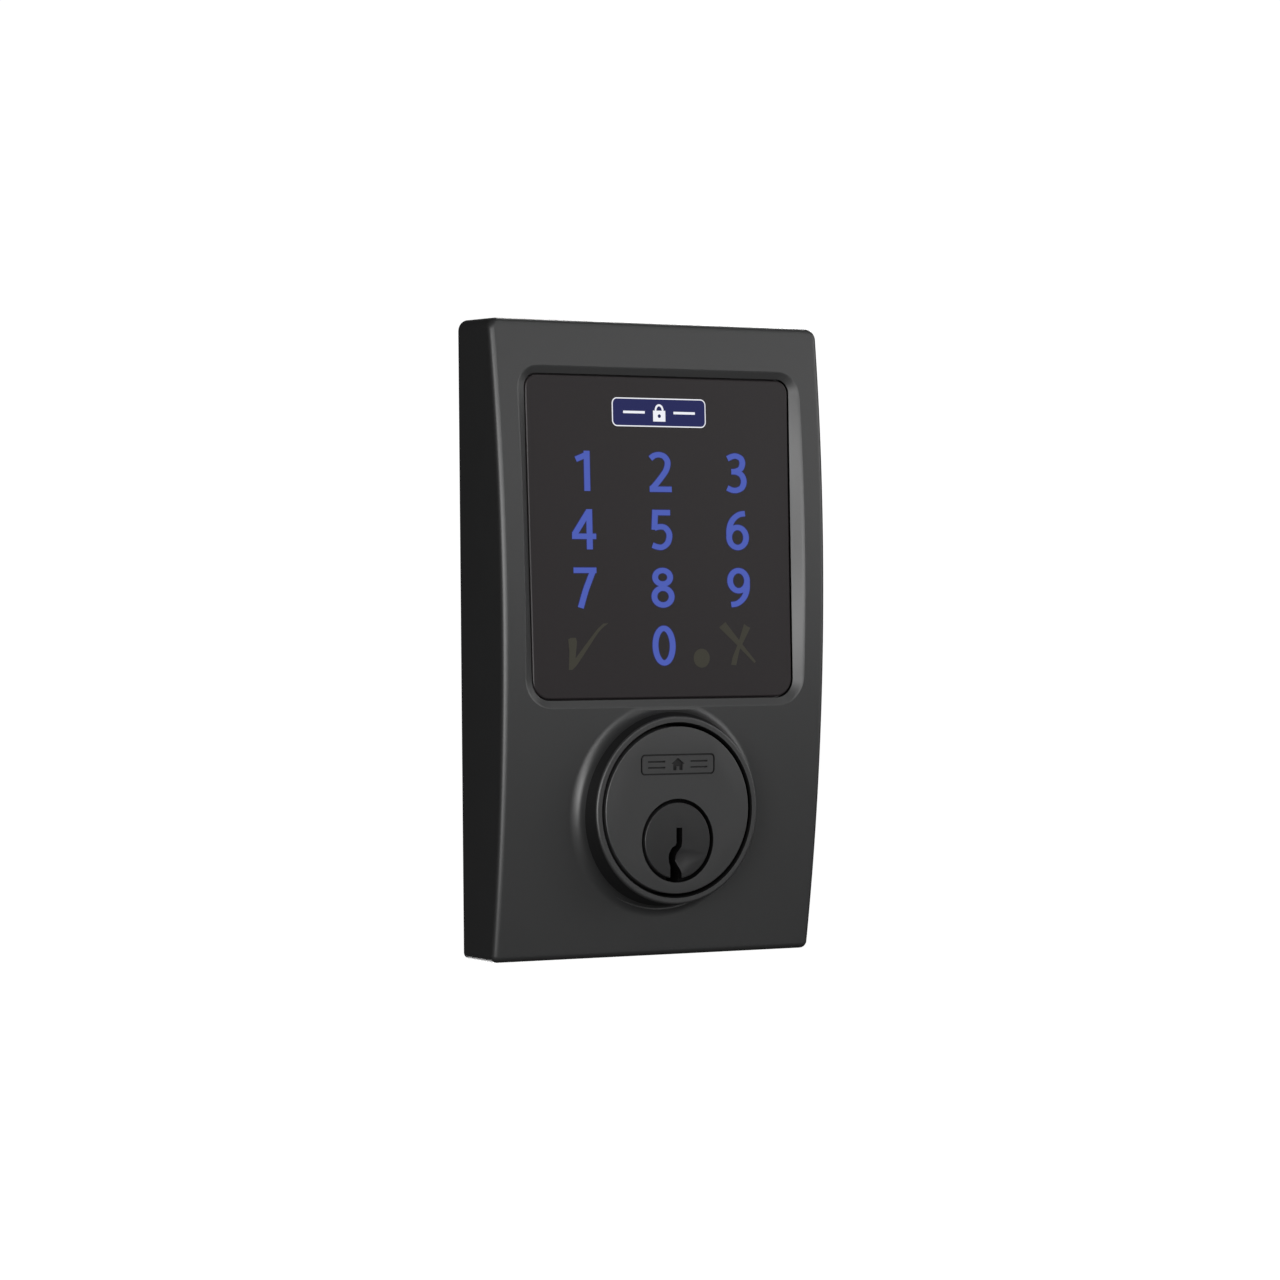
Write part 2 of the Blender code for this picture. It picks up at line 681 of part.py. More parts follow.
def make_keypad():
    stack = lens_outline(-STACK_MARGIN)
    make("touch_film", slab(stack, FILM_NEAR, FILM_NEAR + FILM_THICKNESS), "clear_film")
    mask = make("light_mask", slab(stack, MASK_NEAR, MASK_NEAR + MASK_THICKNESS), "white_plastic")
    spots = [(x, z, WELL_WIDTH, WELL_HEIGHT) for x, z in key_spots()]
    spots.append((0.0, BADGE_Z) + BADGE_WELL)
    wells = []
    for x, z, width, height in spots:
        corners = small_outline(width, height, x, z, WELL_CORNER)
        wells.append(slab(corners, MASK_NEAR - OVERLAP, BOARD_NEAR + OVERLAP))
    combine(mask, merged(wells))

    make("keypad_board", slab(stack, BOARD_NEAR, BOARD_FAR), "green_board")
    for row in range(KEY_ROWS):
        z = KEY_TOP_Z - row * KEY_PITCH_Z + LED_RISE
        far = BOARD_NEAR - PART_GAP
        led = small_outline(LED_SHARE * WELL_WIDTH, LED_TALL, 0.0, z)
        body = slab(led, far - LED_HEIGHT, far)
        make(f"row_led_{row + 1}", body, "led_yellow")
    near = BOARD_FAR + PART_GAP
    chip = small_outline(CHIP_SIDE, CHIP_SIDE, 0.0, (LENS_LOW + LENS_HIGH) / 2)
    make("control_chip", slab(chip, near, near + CHIP_HEIGHT), "chip_black")
    width, height = SOCKET_SIZE
    z = LENS_LOW + SOCKET_RISE
    body = slab(small_outline(width, height, 0.0, z), near, near + SOCKET_HEIGHT)
    socket = make("cable_socket", body, "cream_nylon")
    mouth = small_outline(width - 2 * SOCKET_WALL, height - 2 * SOCKET_WALL, 0.0, z)
    combine(socket, slab(mouth, near + SOCKET_WALL, near + SOCKET_HEIGHT + OVERLAP))
    x, z = BEEPER_SIDE - LENS_HALF_WIDTH, LENS_LOW + BEEPER_RISE
    top = lens_y(z + BEEPER_RADIUS) + near + PART_GAP
    edge = BEEPER_HEIGHT / 8
    profile = [
        (BEEPER_RADIUS, top),
        (BEEPER_RADIUS, top + BEEPER_HEIGHT - edge),
        (BEEPER_RADIUS - edge, top + BEEPER_HEIGHT),
        (BEEPER_HOLE, top + BEEPER_HEIGHT),
        (BEEPER_HOLE, top + BEEPER_HEIGHT * 2 / 3),
        (0.0, top + BEEPER_HEIGHT * 2 / 3),
    ]
    make("beeper", revolve(profile, (x, z), segments=24), "black_plastic")


# Rear closing parts


def make_rear():
    inset = RIM_WALL + SIDE_GAP
    split = PARTITION_LOW - SPLIT_DROP
    cover_outline = body_outline(inset, low=split + SIDE_GAP, corner=PLATE_CORNER)
    cover = make(
        "rear_cover",
        loft([ring(cover_outline, level(PLATE_FRONT_Y)), ring(cover_outline, level(PLATE_Y))]),
        "black_plastic",
    )
    plate_outline = body_outline(inset, high=split, corner=PLATE_CORNER)
    plate = make(
        "back_plate",
        loft([ring(plate_outline, level(PLATE_FRONT_Y)), ring(plate_outline, level(PLATE_Y))]),
        "zinc_steel",
    )
    for part in (cover, plate):
        combine(
            part,
            rod(
                REAR_BODY_RADIUS + SIDE_GAP + PART_GAP,
                PLATE_FRONT_Y - OVERLAP,
                PLATE_Y + OVERLAP,
                (0.0, CYLINDER_RISE),
                segments=FINE,
            ),
        )
    holes = [(cover, spot, SCREW_RADIUS) for spot in SCREW_SPOTS_COVER]
    holes += [(plate, spot, SCREW_RADIUS) for spot in SCREW_SPOTS_PLATE + SCREW_SPOTS_CYLINDER]
    holes += [(plate, (side * POST_X, 0.0), POST_RADIUS) for side in (-1, 1)]
    holes.append((cover, (0.0, CABLE_HOLE_Z), GROMMET_NECK))
    for part, spot, radius in holes:
        combine(part, rod(radius + BORE_GAP, PLATE_FRONT_Y - OVERLAP, PLATE_Y + OVERLAP, spot))

    seal = frame(
        body_outline(inset), body_outline(inset + SEAL_WIDTH), level(-SEAL_DEPTH), level(0.0)
    )
    make("door_seal", seal, "black_rubber")

    lip = GROMMET_LIP
    front = PLATE_FRONT_Y - PART_GAP
    rear = PLATE_Y + PART_GAP
    grommet = revolve(
        [
            (CABLE_HOLE_RADIUS, front - lip),
            (GROMMET_NECK + lip, front - lip),
            (GROMMET_NECK + lip, front),
            (GROMMET_NECK, front),
            (GROMMET_NECK, rear),
            (GROMMET_NECK + lip, rear),
            (GROMMET_NECK + lip, rear + lip),
            (CABLE_HOLE_RADIUS, rear + lip),
        ],
        (0.0, CABLE_HOLE_Z),
        segments=24,
        closed=True,
    )
    make("cable_grommet", grommet, "black_rubber")


def screw(name, spot, length=SCREW_LENGTH):
    """A pan-head screw from the rear, its head on the plate, with a hexagon socket."""
    seat = PLATE_Y + PART_GAP
    profile = [
        (SCREW_RADIUS / 2, PLATE_Y - length),
        (SCREW_RADIUS, PLATE_Y - length + SCREW_RADIUS / 2),
        (SCREW_RADIUS, seat),
        (SCREW_HEAD_RADIUS, seat),
        (SCREW_HEAD_RADIUS, seat + SCREW_HEAD / 2),
        (SCREW_HEAD_RADIUS - SCREW_HEAD / 2, seat + SCREW_HEAD),
    ]
    made = make(name, revolve(profile, spot, segments=COARSE), "zinc_steel")
    top = seat + SCREW_HEAD
    combine(made, rod(SCREW_SOCKET_RADIUS, top - SCREW_HEAD / 2, top + OVERLAP, spot, segments=6))


def make_fixings():
    for number, spot in enumerate(SCREW_SPOTS_COVER, 1):
        screw(f"cover_screw_{number}", spot)
    for number, spot in enumerate(SCREW_SPOTS_PLATE, 1):
        screw(f"plate_screw_{number}", spot)
    for number, spot in enumerate(SCREW_SPOTS_CYLINDER, 1):
        screw(f"cylinder_screw_{number}", spot, CYLINDER_SCREW_LENGTH)
    for name, side in (("left", -1), ("right", 1)):
        profile = [
            (POST_RADIUS - POST_EDGE, -POST_DEPTH),
            (POST_RADIUS, -POST_DEPTH + POST_EDGE),
            (POST_RADIUS, POST_TAIL - POST_EDGE),
            (POST_RADIUS - POST_EDGE, POST_TAIL),
            (POST_TAP_RADIUS, POST_TAIL),
            (POST_TAP_RADIUS, POST_TAP_FLOOR - POST_DEPTH),
            (0.0, POST_TAP_FLOOR - POST_DEPTH - POST_TAP_RADIUS / 2),
        ]
        make(f"mount_post_{name}", revolve(profile, (side * POST_X, 0.0)), "zinc_steel")


# Key cylinder


def pin_ys():
    return [FACE_Y + FIRST_PIN + PIN_PITCH * number for number in range(PIN_COUNT)]


def make_housing():
    centre = (0.0, CYLINDER_RISE)
    profile = [
        (FACE_RADIUS - FACE_CHAMFER, FACE_Y),
        (FACE_RADIUS, FACE_Y + FACE_CHAMFER),
        (FACE_RADIUS, FLANGE_FRONT_Y),
        (FLANGE_RADIUS, FLANGE_FRONT_Y),
        (FLANGE_RADIUS, FLANGE_Y),
        (REAR_BODY_RADIUS, FLANGE_Y),
        (REAR_BODY_RADIUS, HOUSING_TAIL - FACE_CHAMFER),
        (REAR_BODY_RADIUS - FACE_CHAMFER, HOUSING_TAIL),
    ]
    housing = make("cylinder_housing", revolve(profile, centre, segments=FINE), "black_coated_zinc")
    flat = PARTITION_LOW - SIDE_GAP
    above = CYLINDER_RISE + FLANGE_RADIUS + OVERLAP
    combine(housing, block(3 * FLANGE_RADIUS, FLANGE_FRONT_Y, FLANGE_Y, flat, above))
    bore = revolve(
        [
            (PLUG_POCKET_RADIUS, FACE_Y - OVERLAP),
            (PLUG_POCKET_RADIUS, FACE_Y + PLUG_HEAD + SIDE_GAP),
            (SHEAR_Z, FACE_Y + PLUG_HEAD + SIDE_GAP),
            (SHEAR_Z, HOUSING_TAIL + OVERLAP),
        ],
        segments=FINE,
    )
    combine(housing, bore)
    ys = pin_ys()
    for y in ys:
        combine(housing, rod(CHAMBER_RADIUS, SHEAR_Z / 2, STRIP_Z + OVERLAP, (0.0, y), "Z"))
    front, rear = ys[0] - STRIP_MARGIN, ys[-1] + STRIP_MARGIN
    gap = PART_GAP
    groove = block(STRIP_WIDTH + 2 * gap, front - gap, rear + gap, STRIP_Z - gap, above)
    combine(housing, groove)
    make("chamber_strip", block(STRIP_WIDTH, front, rear, STRIP_Z, STRIP_TOP), "brass")
    for name, side in (("left", -1), ("right", 1)):
        spot = (side * DRILL_PIN_SPOT[0], DRILL_PIN_SPOT[1])
        front = FACE_Y + DRILL_PIN_DEPTH
        hole = rod(
            DRILL_PIN_RADIUS + BORE_GAP, front - PART_GAP, HOUSING_TAIL + OVERLAP, spot, segments=12
        )
        combine(housing, hole)
        pin = rod(DRILL_PIN_RADIUS, front, front + DRILL_PIN_LENGTH, spot, segments=12)
        make(f"anti_drill_pin_{name}", pin, "hard_steel")
    for spot in SCREW_SPOTS_CYLINDER:
        hole = rod(SCREW_RADIUS + BORE_GAP, FLANGE_FRONT_Y - OVERLAP, FLANGE_Y + OVERLAP, spot)
        combine(housing, hole)


def keyway():
    """Outline of the keyway, open at the foot of the plug."""
    left = [(-0.00030, 0.0026), (-0.00030, -0.0006), (-0.00165, -0.0016)]
    left += [(-0.00215, -0.0032), (-0.00175, -0.0050), (-0.00175, -0.0090)]
    right = [(0.00105, -0.0090), (0.00105, -0.0066), (-0.00010, -0.0046)]
    right += [(-0.00030, -0.0032), (0.00040, -0.0018), (0.00105, -0.0006), (0.00105, 0.0026)]
    return left + right


def sector(inner, outer, start, end, front, rear, steps=10):
    """A closed bmesh of part of a flat ring about the plug axis."""
    points = []
    for radius, first, last in ((outer, start, end), (inner, end, start)):
        for step in range(steps + 1):
            angle = first + (last - first) * step / steps
            points.append((radius * cos(angle), radius * sin(angle)))
    return prism(points, front, rear)


def make_plug():
    profile = [
        (PLUG_FACE_RADIUS - PLUG_CHAMFER, FACE_Y),
        (PLUG_FACE_RADIUS, FACE_Y + PLUG_CHAMFER),
        (PLUG_FACE_RADIUS, FACE_Y + PLUG_HEAD),
        (PLUG_RADIUS, FACE_Y + PLUG_HEAD),
        (PLUG_RADIUS, HOUSING_TAIL),
        (PLUG_STUB_RADIUS, HOUSING_TAIL),
        (PLUG_STUB_RADIUS, STUB_END_Y),
    ]
    plug = make("plug", revolve(profile, segments=FINE), "black_coated_zinc")
    lug = sector(
        LUG_INNER,
        LUG_OUTER,
        pi / 2 - LUG_ANGLE / 2,
        pi / 2 + LUG_ANGLE / 2,
        STUB_END_Y - OVERLAP,
        HUB_Y + HUB_THICKNESS - OVERLAP - SIDE_GAP,
    )
    combine(plug, lug, "UNION")
    combine(plug, prism(keyway(), FACE_Y - OVERLAP, HOUSING_TAIL - KEYWAY_END))
    ys = pin_ys()
    for y in ys:
        combine(plug, rod(CHAMBER_RADIUS, CHAMBER_FLOOR, 2 * SHEAR_Z, (0.0, y), "Z"))
    pivot = rod(PIVOT_RADIUS + BORE_GAP, STUB_END_Y - PIVOT_DEPTH - PART_GAP, STUB_END_Y + OVERLAP)
    combine(plug, pivot)

    for number, (y, length) in enumerate(zip(ys, PIN_LENGTHS), 1):
        tip = KEY_PIN_TOP - length
        pin = [
            (PIN_TIP_RADIUS, tip),
            (PIN_RADIUS, tip + PIN_CONE),
            (PIN_RADIUS, KEY_PIN_TOP - PIN_EDGE),
            (PIN_RADIUS - PIN_EDGE, KEY_PIN_TOP),
        ]
        make(f"key_pin_{number}", revolve(pin, (0.0, y), "Z", 12), "brass", (0.0, y, 0.0))
        head = DRIVER_FOOT + DRIVER_LENGTH
        driver = [
            (PIN_RADIUS - PIN_EDGE, DRIVER_FOOT),
            (PIN_RADIUS, DRIVER_FOOT + PIN_EDGE),
            (PIN_RADIUS, head - PIN_EDGE),
            (PIN_RADIUS - PIN_EDGE, head),
        ]
        make(f"driver_pin_{number}", revolve(driver, (0.0, y), "Z", 12), "hard_steel", (0.0, y, 0.0))
        coil = spring(head + PART_GAP, STRIP_Z - PART_GAP, y)
        make(f"pin_spring_{number}", coil, "spring_steel", (0.0, y, 0.0))


def spring(low, high, y):
    """A coil spring standing on Z, with its two end turns closed up."""
    mesh = bmesh.new()
    per_turn = 8
    sides = 4
    count = SPRING_TURNS * per_turn
    start = low + SPRING_WIRE
    rise = high - low - 2 * SPRING_WIRE
    closed, share = 0.12, 0.06
    rows = []
    for step in range(count + 1):
        part = step / count
        angle = 2 * pi * step / per_turn
        along = min(max((part - closed) / (1 - 2 * closed), 0.0), 1.0)
        eased = along * (1 - 2 * share) + share * min(part / closed, 1.0)
        eased += share * max((part - 1 + closed) / closed, 0.0)
        centre = Vector((cos(angle), sin(angle), 0.0)) * SPRING_RADIUS
        outward = centre.normalized()
        row = []
        for side in range(sides):
            turn = 2 * pi * side / sides
            point = centre + outward * SPRING_WIRE * cos(turn)
            point.z = start + rise * eased + SPRING_WIRE * sin(turn)
            point.y += y
            row.append(mesh.verts.new(point))
        rows.append(row)
    for first, second in zip(rows, rows[1:]):
        for i in range(sides):
            j = (i + 1) % sides
            mesh.faces.new((first[i], first[j], second[j], second[i]))
    mesh.faces.new(rows[0])
    mesh.faces.new(rows[-1])
    return mesh


def make_tail():
    shell = RETAINER_SHELL
    skirt = HUB_RADIUS + SIDE_GAP
    lip_y = HUB_Y + HUB_THICKNESS + SIDE_GAP
    profile = [
        (PLUG_STUB_RADIUS + BORE_GAP / 2, HOUSING_TAIL + PART_GAP),
        (skirt + shell, HOUSING_TAIL + PART_GAP),
        (skirt + shell, lip_y + shell),
        (HUB_RADIUS - shell, lip_y + shell),
        (HUB_RADIUS - shell, lip_y),
        (skirt, lip_y),
        (skirt, STUB_END_Y),
        (PLUG_STUB_RADIUS + BORE_GAP / 2, STUB_END_Y),
    ]
    make("plug_retainer", revolve(profile, segments=48, closed=True), "brass")

    hub = make(
        "tailpiece",
        revolve([
            (PIVOT_RADIUS, STUB_END_Y - PIVOT_DEPTH),
            (PIVOT_RADIUS, HUB_Y),
            (HUB_RADIUS, HUB_Y),
            (HUB_RADIUS, HUB_Y + HUB_THICKNESS),
        ], segments=48),
        "zinc_steel",
    )
    start = pi / 2 + LUG_ANGLE / 2 + LUG_SLACK
    slot = sector(
        LUG_INNER - SIDE_GAP,
        LUG_OUTER + SIDE_GAP,
        pi / 2 - LUG_ANGLE / 2 - LUG_SLACK,
        start + LOST_MOTION,
        HUB_Y - OVERLAP,
        HUB_Y + HUB_THICKNESS + OVERLAP,
        steps=16,
    )
    combine(hub, slot)
    bar = block(
        TAIL_THICKNESS,
        HUB_Y + HUB_THICKNESS - OVERLAP,
        HUB_Y + TAIL_LENGTH,
        -TAIL_WIDTH / 2,
        TAIL_WIDTH / 2,
    )
    middle = HUB_Y + TAIL_LENGTH / 2
    bmesh.ops.bevel(
        bar,
        geom=[edge for edge in bar.edges if min(v.co.y for v in edge.verts) > middle],
        offset=TAIL_EDGE,
        segments=2,
        affect="EDGES",
    )
    combine(hub, bar, "UNION")


def main():
    clear_scene()
    make_casing()
    make_lens()
    make_lens_seal()
    make_keypad()
    make_rear()
    make_fixings()
    make_housing()
    make_plug()
    make_tail()


main()
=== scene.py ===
"""Looks of the outdoor module of a keypad deadbolt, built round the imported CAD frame.

Metres. +Z is up, +X is to the right as the user faces the lock, and the front looks
along -Y. The origin is on the axis of the key plug, in the plane of the door face.
"""

import json
from math import cos, pi, radians, sin, sqrt

import bmesh
import bpy
from mathutils import Matrix, Vector


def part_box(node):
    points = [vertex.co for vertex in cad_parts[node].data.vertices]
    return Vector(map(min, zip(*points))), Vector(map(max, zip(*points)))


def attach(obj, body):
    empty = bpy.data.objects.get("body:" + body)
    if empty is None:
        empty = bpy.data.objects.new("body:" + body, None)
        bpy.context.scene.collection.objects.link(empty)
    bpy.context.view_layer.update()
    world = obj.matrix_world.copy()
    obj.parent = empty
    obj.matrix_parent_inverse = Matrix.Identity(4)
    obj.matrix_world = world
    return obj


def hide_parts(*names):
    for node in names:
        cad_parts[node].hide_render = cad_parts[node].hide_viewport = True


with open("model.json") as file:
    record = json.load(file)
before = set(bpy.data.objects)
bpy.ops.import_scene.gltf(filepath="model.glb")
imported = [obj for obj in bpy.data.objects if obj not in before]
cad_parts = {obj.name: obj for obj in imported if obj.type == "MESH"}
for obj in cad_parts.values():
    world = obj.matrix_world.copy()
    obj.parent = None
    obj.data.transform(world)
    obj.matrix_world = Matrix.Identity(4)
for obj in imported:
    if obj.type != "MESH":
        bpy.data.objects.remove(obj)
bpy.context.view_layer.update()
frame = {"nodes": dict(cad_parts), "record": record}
MODULE, PLUG = "module", "turning_plug"

# Casing, from the box of its CAD node and the shape values that a box can't give
CASE_LOW, CASE_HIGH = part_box("casing")
REAR_Y = CASE_HIGH.y
FACE_Y = CASE_LOW.y
BOTTOM, TOP = CASE_LOW.z, CASE_HIGH.z
MIDDLE = (BOTTOM + TOP) / 2
TAPER = 0.0116
CORNERS = (0.0014, 0.0023)
HALF_WIDTH = CASE_HIGH.x - TAPER * (TOP - CORNERS[1] - MIDDLE)
CROWN_Y = REAR_Y - 0.0172
CROWN_Z = MIDDLE + 0.0013
FRONT_RADIUS = 0.422
EDGE = 0.00125
WALL = 0.0024

MARGIN = 0.0001  # past a neighbour's face
PAST = 0.0005  # how far a cut runs past the face it opens

# Touch window
FLANGE = 0.0018
LENS_LOW_CORNER, LENS_HIGH_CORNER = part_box("touch_lens")
LENS_BOTTOM = LENS_LOW_CORNER.z + FLANGE
LENS_TOP = LENS_HIGH_CORNER.z - FLANGE
LENS_CORNERS = (0.0038, 0.0026)
LENS_TAPER = 0.0077
LENS_HALF = LENS_HIGH_CORNER.x - FLANGE - LENS_TAPER * (LENS_TOP - LENS_CORNERS[1] - MIDDLE)
LENS_SLOPE = 0.045
LENS_THICK = 0.0030
GAP = 0.0003
BEVEL_WIDTH = 0.0020
BEVEL_HEIGHT = 0.0015
LIP = 0.0006  # rounded edge between the border and the front
LEDGE = 0.0012

# Bosses and holes in the casing
PLATE_BOSS_R = 0.0031
COVER_BOSS_R = 0.0023
POST_BOSS_R = 0.0039
SCREW_HOLE_R = 0.00135
POST_HOLE_R = 0.00285

# Key cylinder
HOUSING_LOW, HOUSING_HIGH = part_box("cylinder_housing")
CYL_Z = HOUSING_LOW.z + HOUSING_HIGH.x
FACE_R = 0.01685
BORE_R = 0.01745
RIM_R = 0.01896
FOOT_R = 0.01965
COVE = 0.0024
COVE_MARGIN = 0.0012  # past the cove, where the collar runs on under the front
RIM_ROUND = 0.00046
SUNK = 0.00012  # how far the ends of curved rows lie off the front
BORE_END_Y = REAR_Y - 0.0080
FLANGE_THICK = 0.0040
FACE_ROUND = 0.00022

# Mesh fineness
CORNER_STEPS = 10
LEVELS = 90
EDGE_STEPS = 12
FINE = 192


def front_y(z):
    """The front of the casing at height z."""
    return CROWN_Y + FRONT_RADIUS - sqrt(FRONT_RADIUS**2 - (z - CROWN_Z) ** 2)


def lens_y(z):
    """The front of the touch window at height z."""
    return LENS_LOW_CORNER.y + LENS_SLOPE * (z - LENS_BOTTOM - GAP)


def level(y):
    return lambda z: y


# Mesh helpers


def outline(half, low, high, corner, levels=LEVELS, taper=TAPER, steps=CORNER_STEPS):
    """A rounded outline that widens upwards by taper, as (x, z) pairs, in mirrored halves.

    corner is one radius, or the radii of the lower and upper corners.
    """
    below, above = corner if isinstance(corner, tuple) else (corner, corner)
    below, above = max(below, 1e-5), max(above, 1e-5)
    points = []
    for radius, centre_z, start in ((below, low + below, -pi / 2), (above, high - above, 0.0)):
        centre_x = half + taper * (centre_z - MIDDLE) - radius
        for step in range(steps + 1):
            angle = start + pi / 2 * step / steps
            points.append((centre_x + radius * cos(angle), centre_z + radius * sin(angle)))
        if start < 0.0:
            for i in range(1, levels):
                z = low + below + (high - low - below - above) * i / levels
                points.append((half + taper * (z - MIDDLE), z))
    return points + [(-x, z) for x, z in reversed(points)]


def case_outline(inset, low=None, high=None, corner=None, levels=LEVELS):
    if corner is None:
        corner = tuple(max(radius - inset, 0.0012) for radius in CORNERS)
    low = BOTTOM + inset if low is None else low
    high = TOP - inset if high is None else high
    return outline(HALF_WIDTH - inset, low, high, corner, levels)


def lens_outline(outset, levels=1, rise=None):
    rise = outset if rise is None else rise
    low, high = LENS_BOTTOM - rise, LENS_TOP + rise
    corners = tuple(corner + outset for corner in LENS_CORNERS)
    return outline(LENS_HALF + outset, low, high, corners, levels, LENS_TAPER)


def ring(points, depth):
    return [(x, depth(z), z) for x, z in points]


def loft(rings, ladder=(False, False), groups=None):
    """A closed bmesh through rings. A curved end is filled with a ladder of strips.

    groups gives the material index of each band and then of the two ends.
    """
    mesh = bmesh.new()
    rows = [[mesh.verts.new(point) for point in points] for points in rings]
    count = len(rows[0])
    for band, (first, second) in enumerate(zip(rows, rows[1:])):
        for i in range(count):
            j = (i + 1) % count
            face = mesh.faces.new((first[i], first[j], second[j], second[i]))
            face.material_index = groups[band] if groups else 0
    for end, row in enumerate((rows[0], rows[-1])):
        made = []
        if ladder[end]:
            for i in range(count // 2 - 1):
                made.append(mesh.faces.new((row[i], row[i + 1], row[-2 - i], row[-1 - i])))
        else:
            made.append(mesh.faces.new(row))
        for face in made:
            face.material_index = groups[len(rows) - 1 + end] if groups else 0
    bmesh.ops.recalc_face_normals(mesh, faces=mesh.faces)
    return mesh


def revolve(profile, centre=(0.0, 0.0), along="Y", segments=96, closed=False, turn=0.0, group=0):
    """A closed bmesh of (radius, height) pairs turned about a Y or Z axis."""
    mesh = bmesh.new()
    rows = []
    for radius, height in profile:
        if radius == 0.0:
            rows.append([mesh.verts.new((0.0, 0.0, height))])
            continue
        angles = [turn + 2 * pi * i / segments for i in range(segments)]
        rows.append([mesh.verts.new((radius * cos(a), radius * sin(a), height)) for a in angles])
    pairs = list(zip(rows, rows[1:]))
    if closed:
        pairs.append((rows[-1], rows[0]))
    for first, second in pairs:
        for i in range(segments):
            j = (i + 1) % segments
            corners = [first[i % len(first)], first[j % len(first)]]
            corners += [second[j % len(second)], second[i % len(second)]]
            mesh.faces.new(list(dict.fromkeys(corners))).material_index = group
    if not closed:
        for row in (rows[0], rows[-1]):
            if len(row) > 1:
                mesh.faces.new(row).material_index = group
    if along == "Y":
        spin = Matrix(((1, 0, 0), (0, 0, 1), (0, 1, 0))).to_4x4()
        shift = Matrix.Translation((centre[0], 0.0, centre[1]))
        bmesh.ops.transform(mesh, matrix=shift @ spin, verts=mesh.verts)
    else:
        bmesh.ops.translate(mesh, verts=mesh.verts, vec=(centre[0], centre[1], 0.0))
    bmesh.ops.recalc_face_normals(mesh, faces=mesh.faces)
    return mesh


def rod(radius, start, end, centre=(0.0, 0.0), along="Y", segments=48, turn=0.0):
    return revolve([(radius, start), (radius, end)], centre, along, segments, turn=turn)


def prism(points, start, end, group=0):
    """A closed bmesh of an (x, z) outline drawn out along Y."""
    mesh = bmesh.new()
    base = mesh.faces.new([mesh.verts.new((x, start, z)) for x, z in points])
    grown = bmesh.ops.extrude_face_region(mesh, geom=[base])
    moved = [item for item in grown["geom"] if isinstance(item, bmesh.types.BMVert)]
    bmesh.ops.translate(mesh, verts=moved, vec=(0.0, end - start, 0.0))
    for face in mesh.faces:
        face.material_index = group
    bmesh.ops.recalc_face_normals(mesh, faces=mesh.faces)
    return mesh


def arc(centre, radius, start, end, steps):
    """Points on an arc, as (x, z) pairs; radius can be a pair."""
    rx, rz = radius if isinstance(radius, tuple) else (radius, radius)
    angles = [start + (end - start) * i / steps for i in range(steps + 1)]
    return [(centre[0] + rx * cos(a), centre[1] + rz * sin(a)) for a in angles]


def piece(name, mesh, material, body=MODULE, stands_for=()):
    """An object from a bmesh, riding on body and standing for those CAD nodes."""
    data = bpy.data.meshes.new(name)
    mesh.to_mesh(data)
    mesh.free()
    obj = bpy.data.objects.new(name, data)
    bpy.context.scene.collection.objects.link(obj)
    materials = material if isinstance(material, (list, tuple)) else [material]
    for item in materials:
        data.materials.append(item)
    if body:
        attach(obj, body)
    if stands_for:
        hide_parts(*stands_for)
    return obj


def combine(obj, mesh, operation="DIFFERENCE"):
    tool = piece("cutter", mesh, list(obj.data.materials), body=None)
    modifier = obj.modifiers.new("shape", "BOOLEAN")
    modifier.operation = operation
    modifier.solver = "EXACT"
    modifier.object = tool
    graph = bpy.context.evaluated_depsgraph_get()
    data = bpy.data.meshes.new_from_object(obj.evaluated_get(graph))
    obj.modifiers.clear()
    old = obj.data
    obj.data = data
    data.name = obj.name
    bpy.data.meshes.remove(old)
    tool_data = tool.data
    bpy.data.objects.remove(tool, do_unlink=True)
    bpy.data.meshes.remove(tool_data)


def smooth(obj, angle=30.0):
    """Smooth shading, with a crease where faces turn by more than angle or change group."""
    mesh = bmesh.new()
    mesh.from_mesh(obj.data)
    bmesh.ops.remove_doubles(mesh, verts=mesh.verts, dist=1e-7)
    limit = radians(angle)
    for face in mesh.faces:
        face.smooth = True
    for edge in mesh.edges:
        pair = edge.link_faces
        turned = len(pair) != 2 or edge.calc_face_angle(0.0) > limit
        edge.smooth = not (turned or pair[0].material_index != pair[1].material_index)
    mesh.to_mesh(obj.data)
    mesh.free()


# Materials


def node_tree(name):
    material = bpy.data.materials.new(name)
    material.use_nodes = True
    tree = material.node_tree
    return material, tree, tree.nodes["Principled BSDF"]


def add(tree, kind, **values):
    made = tree.nodes.new(kind)
    for key, value in values.items():
        if key in made.inputs:
            made.inputs[key].default_value = value
        else:
            setattr(made, key, value)
    return made


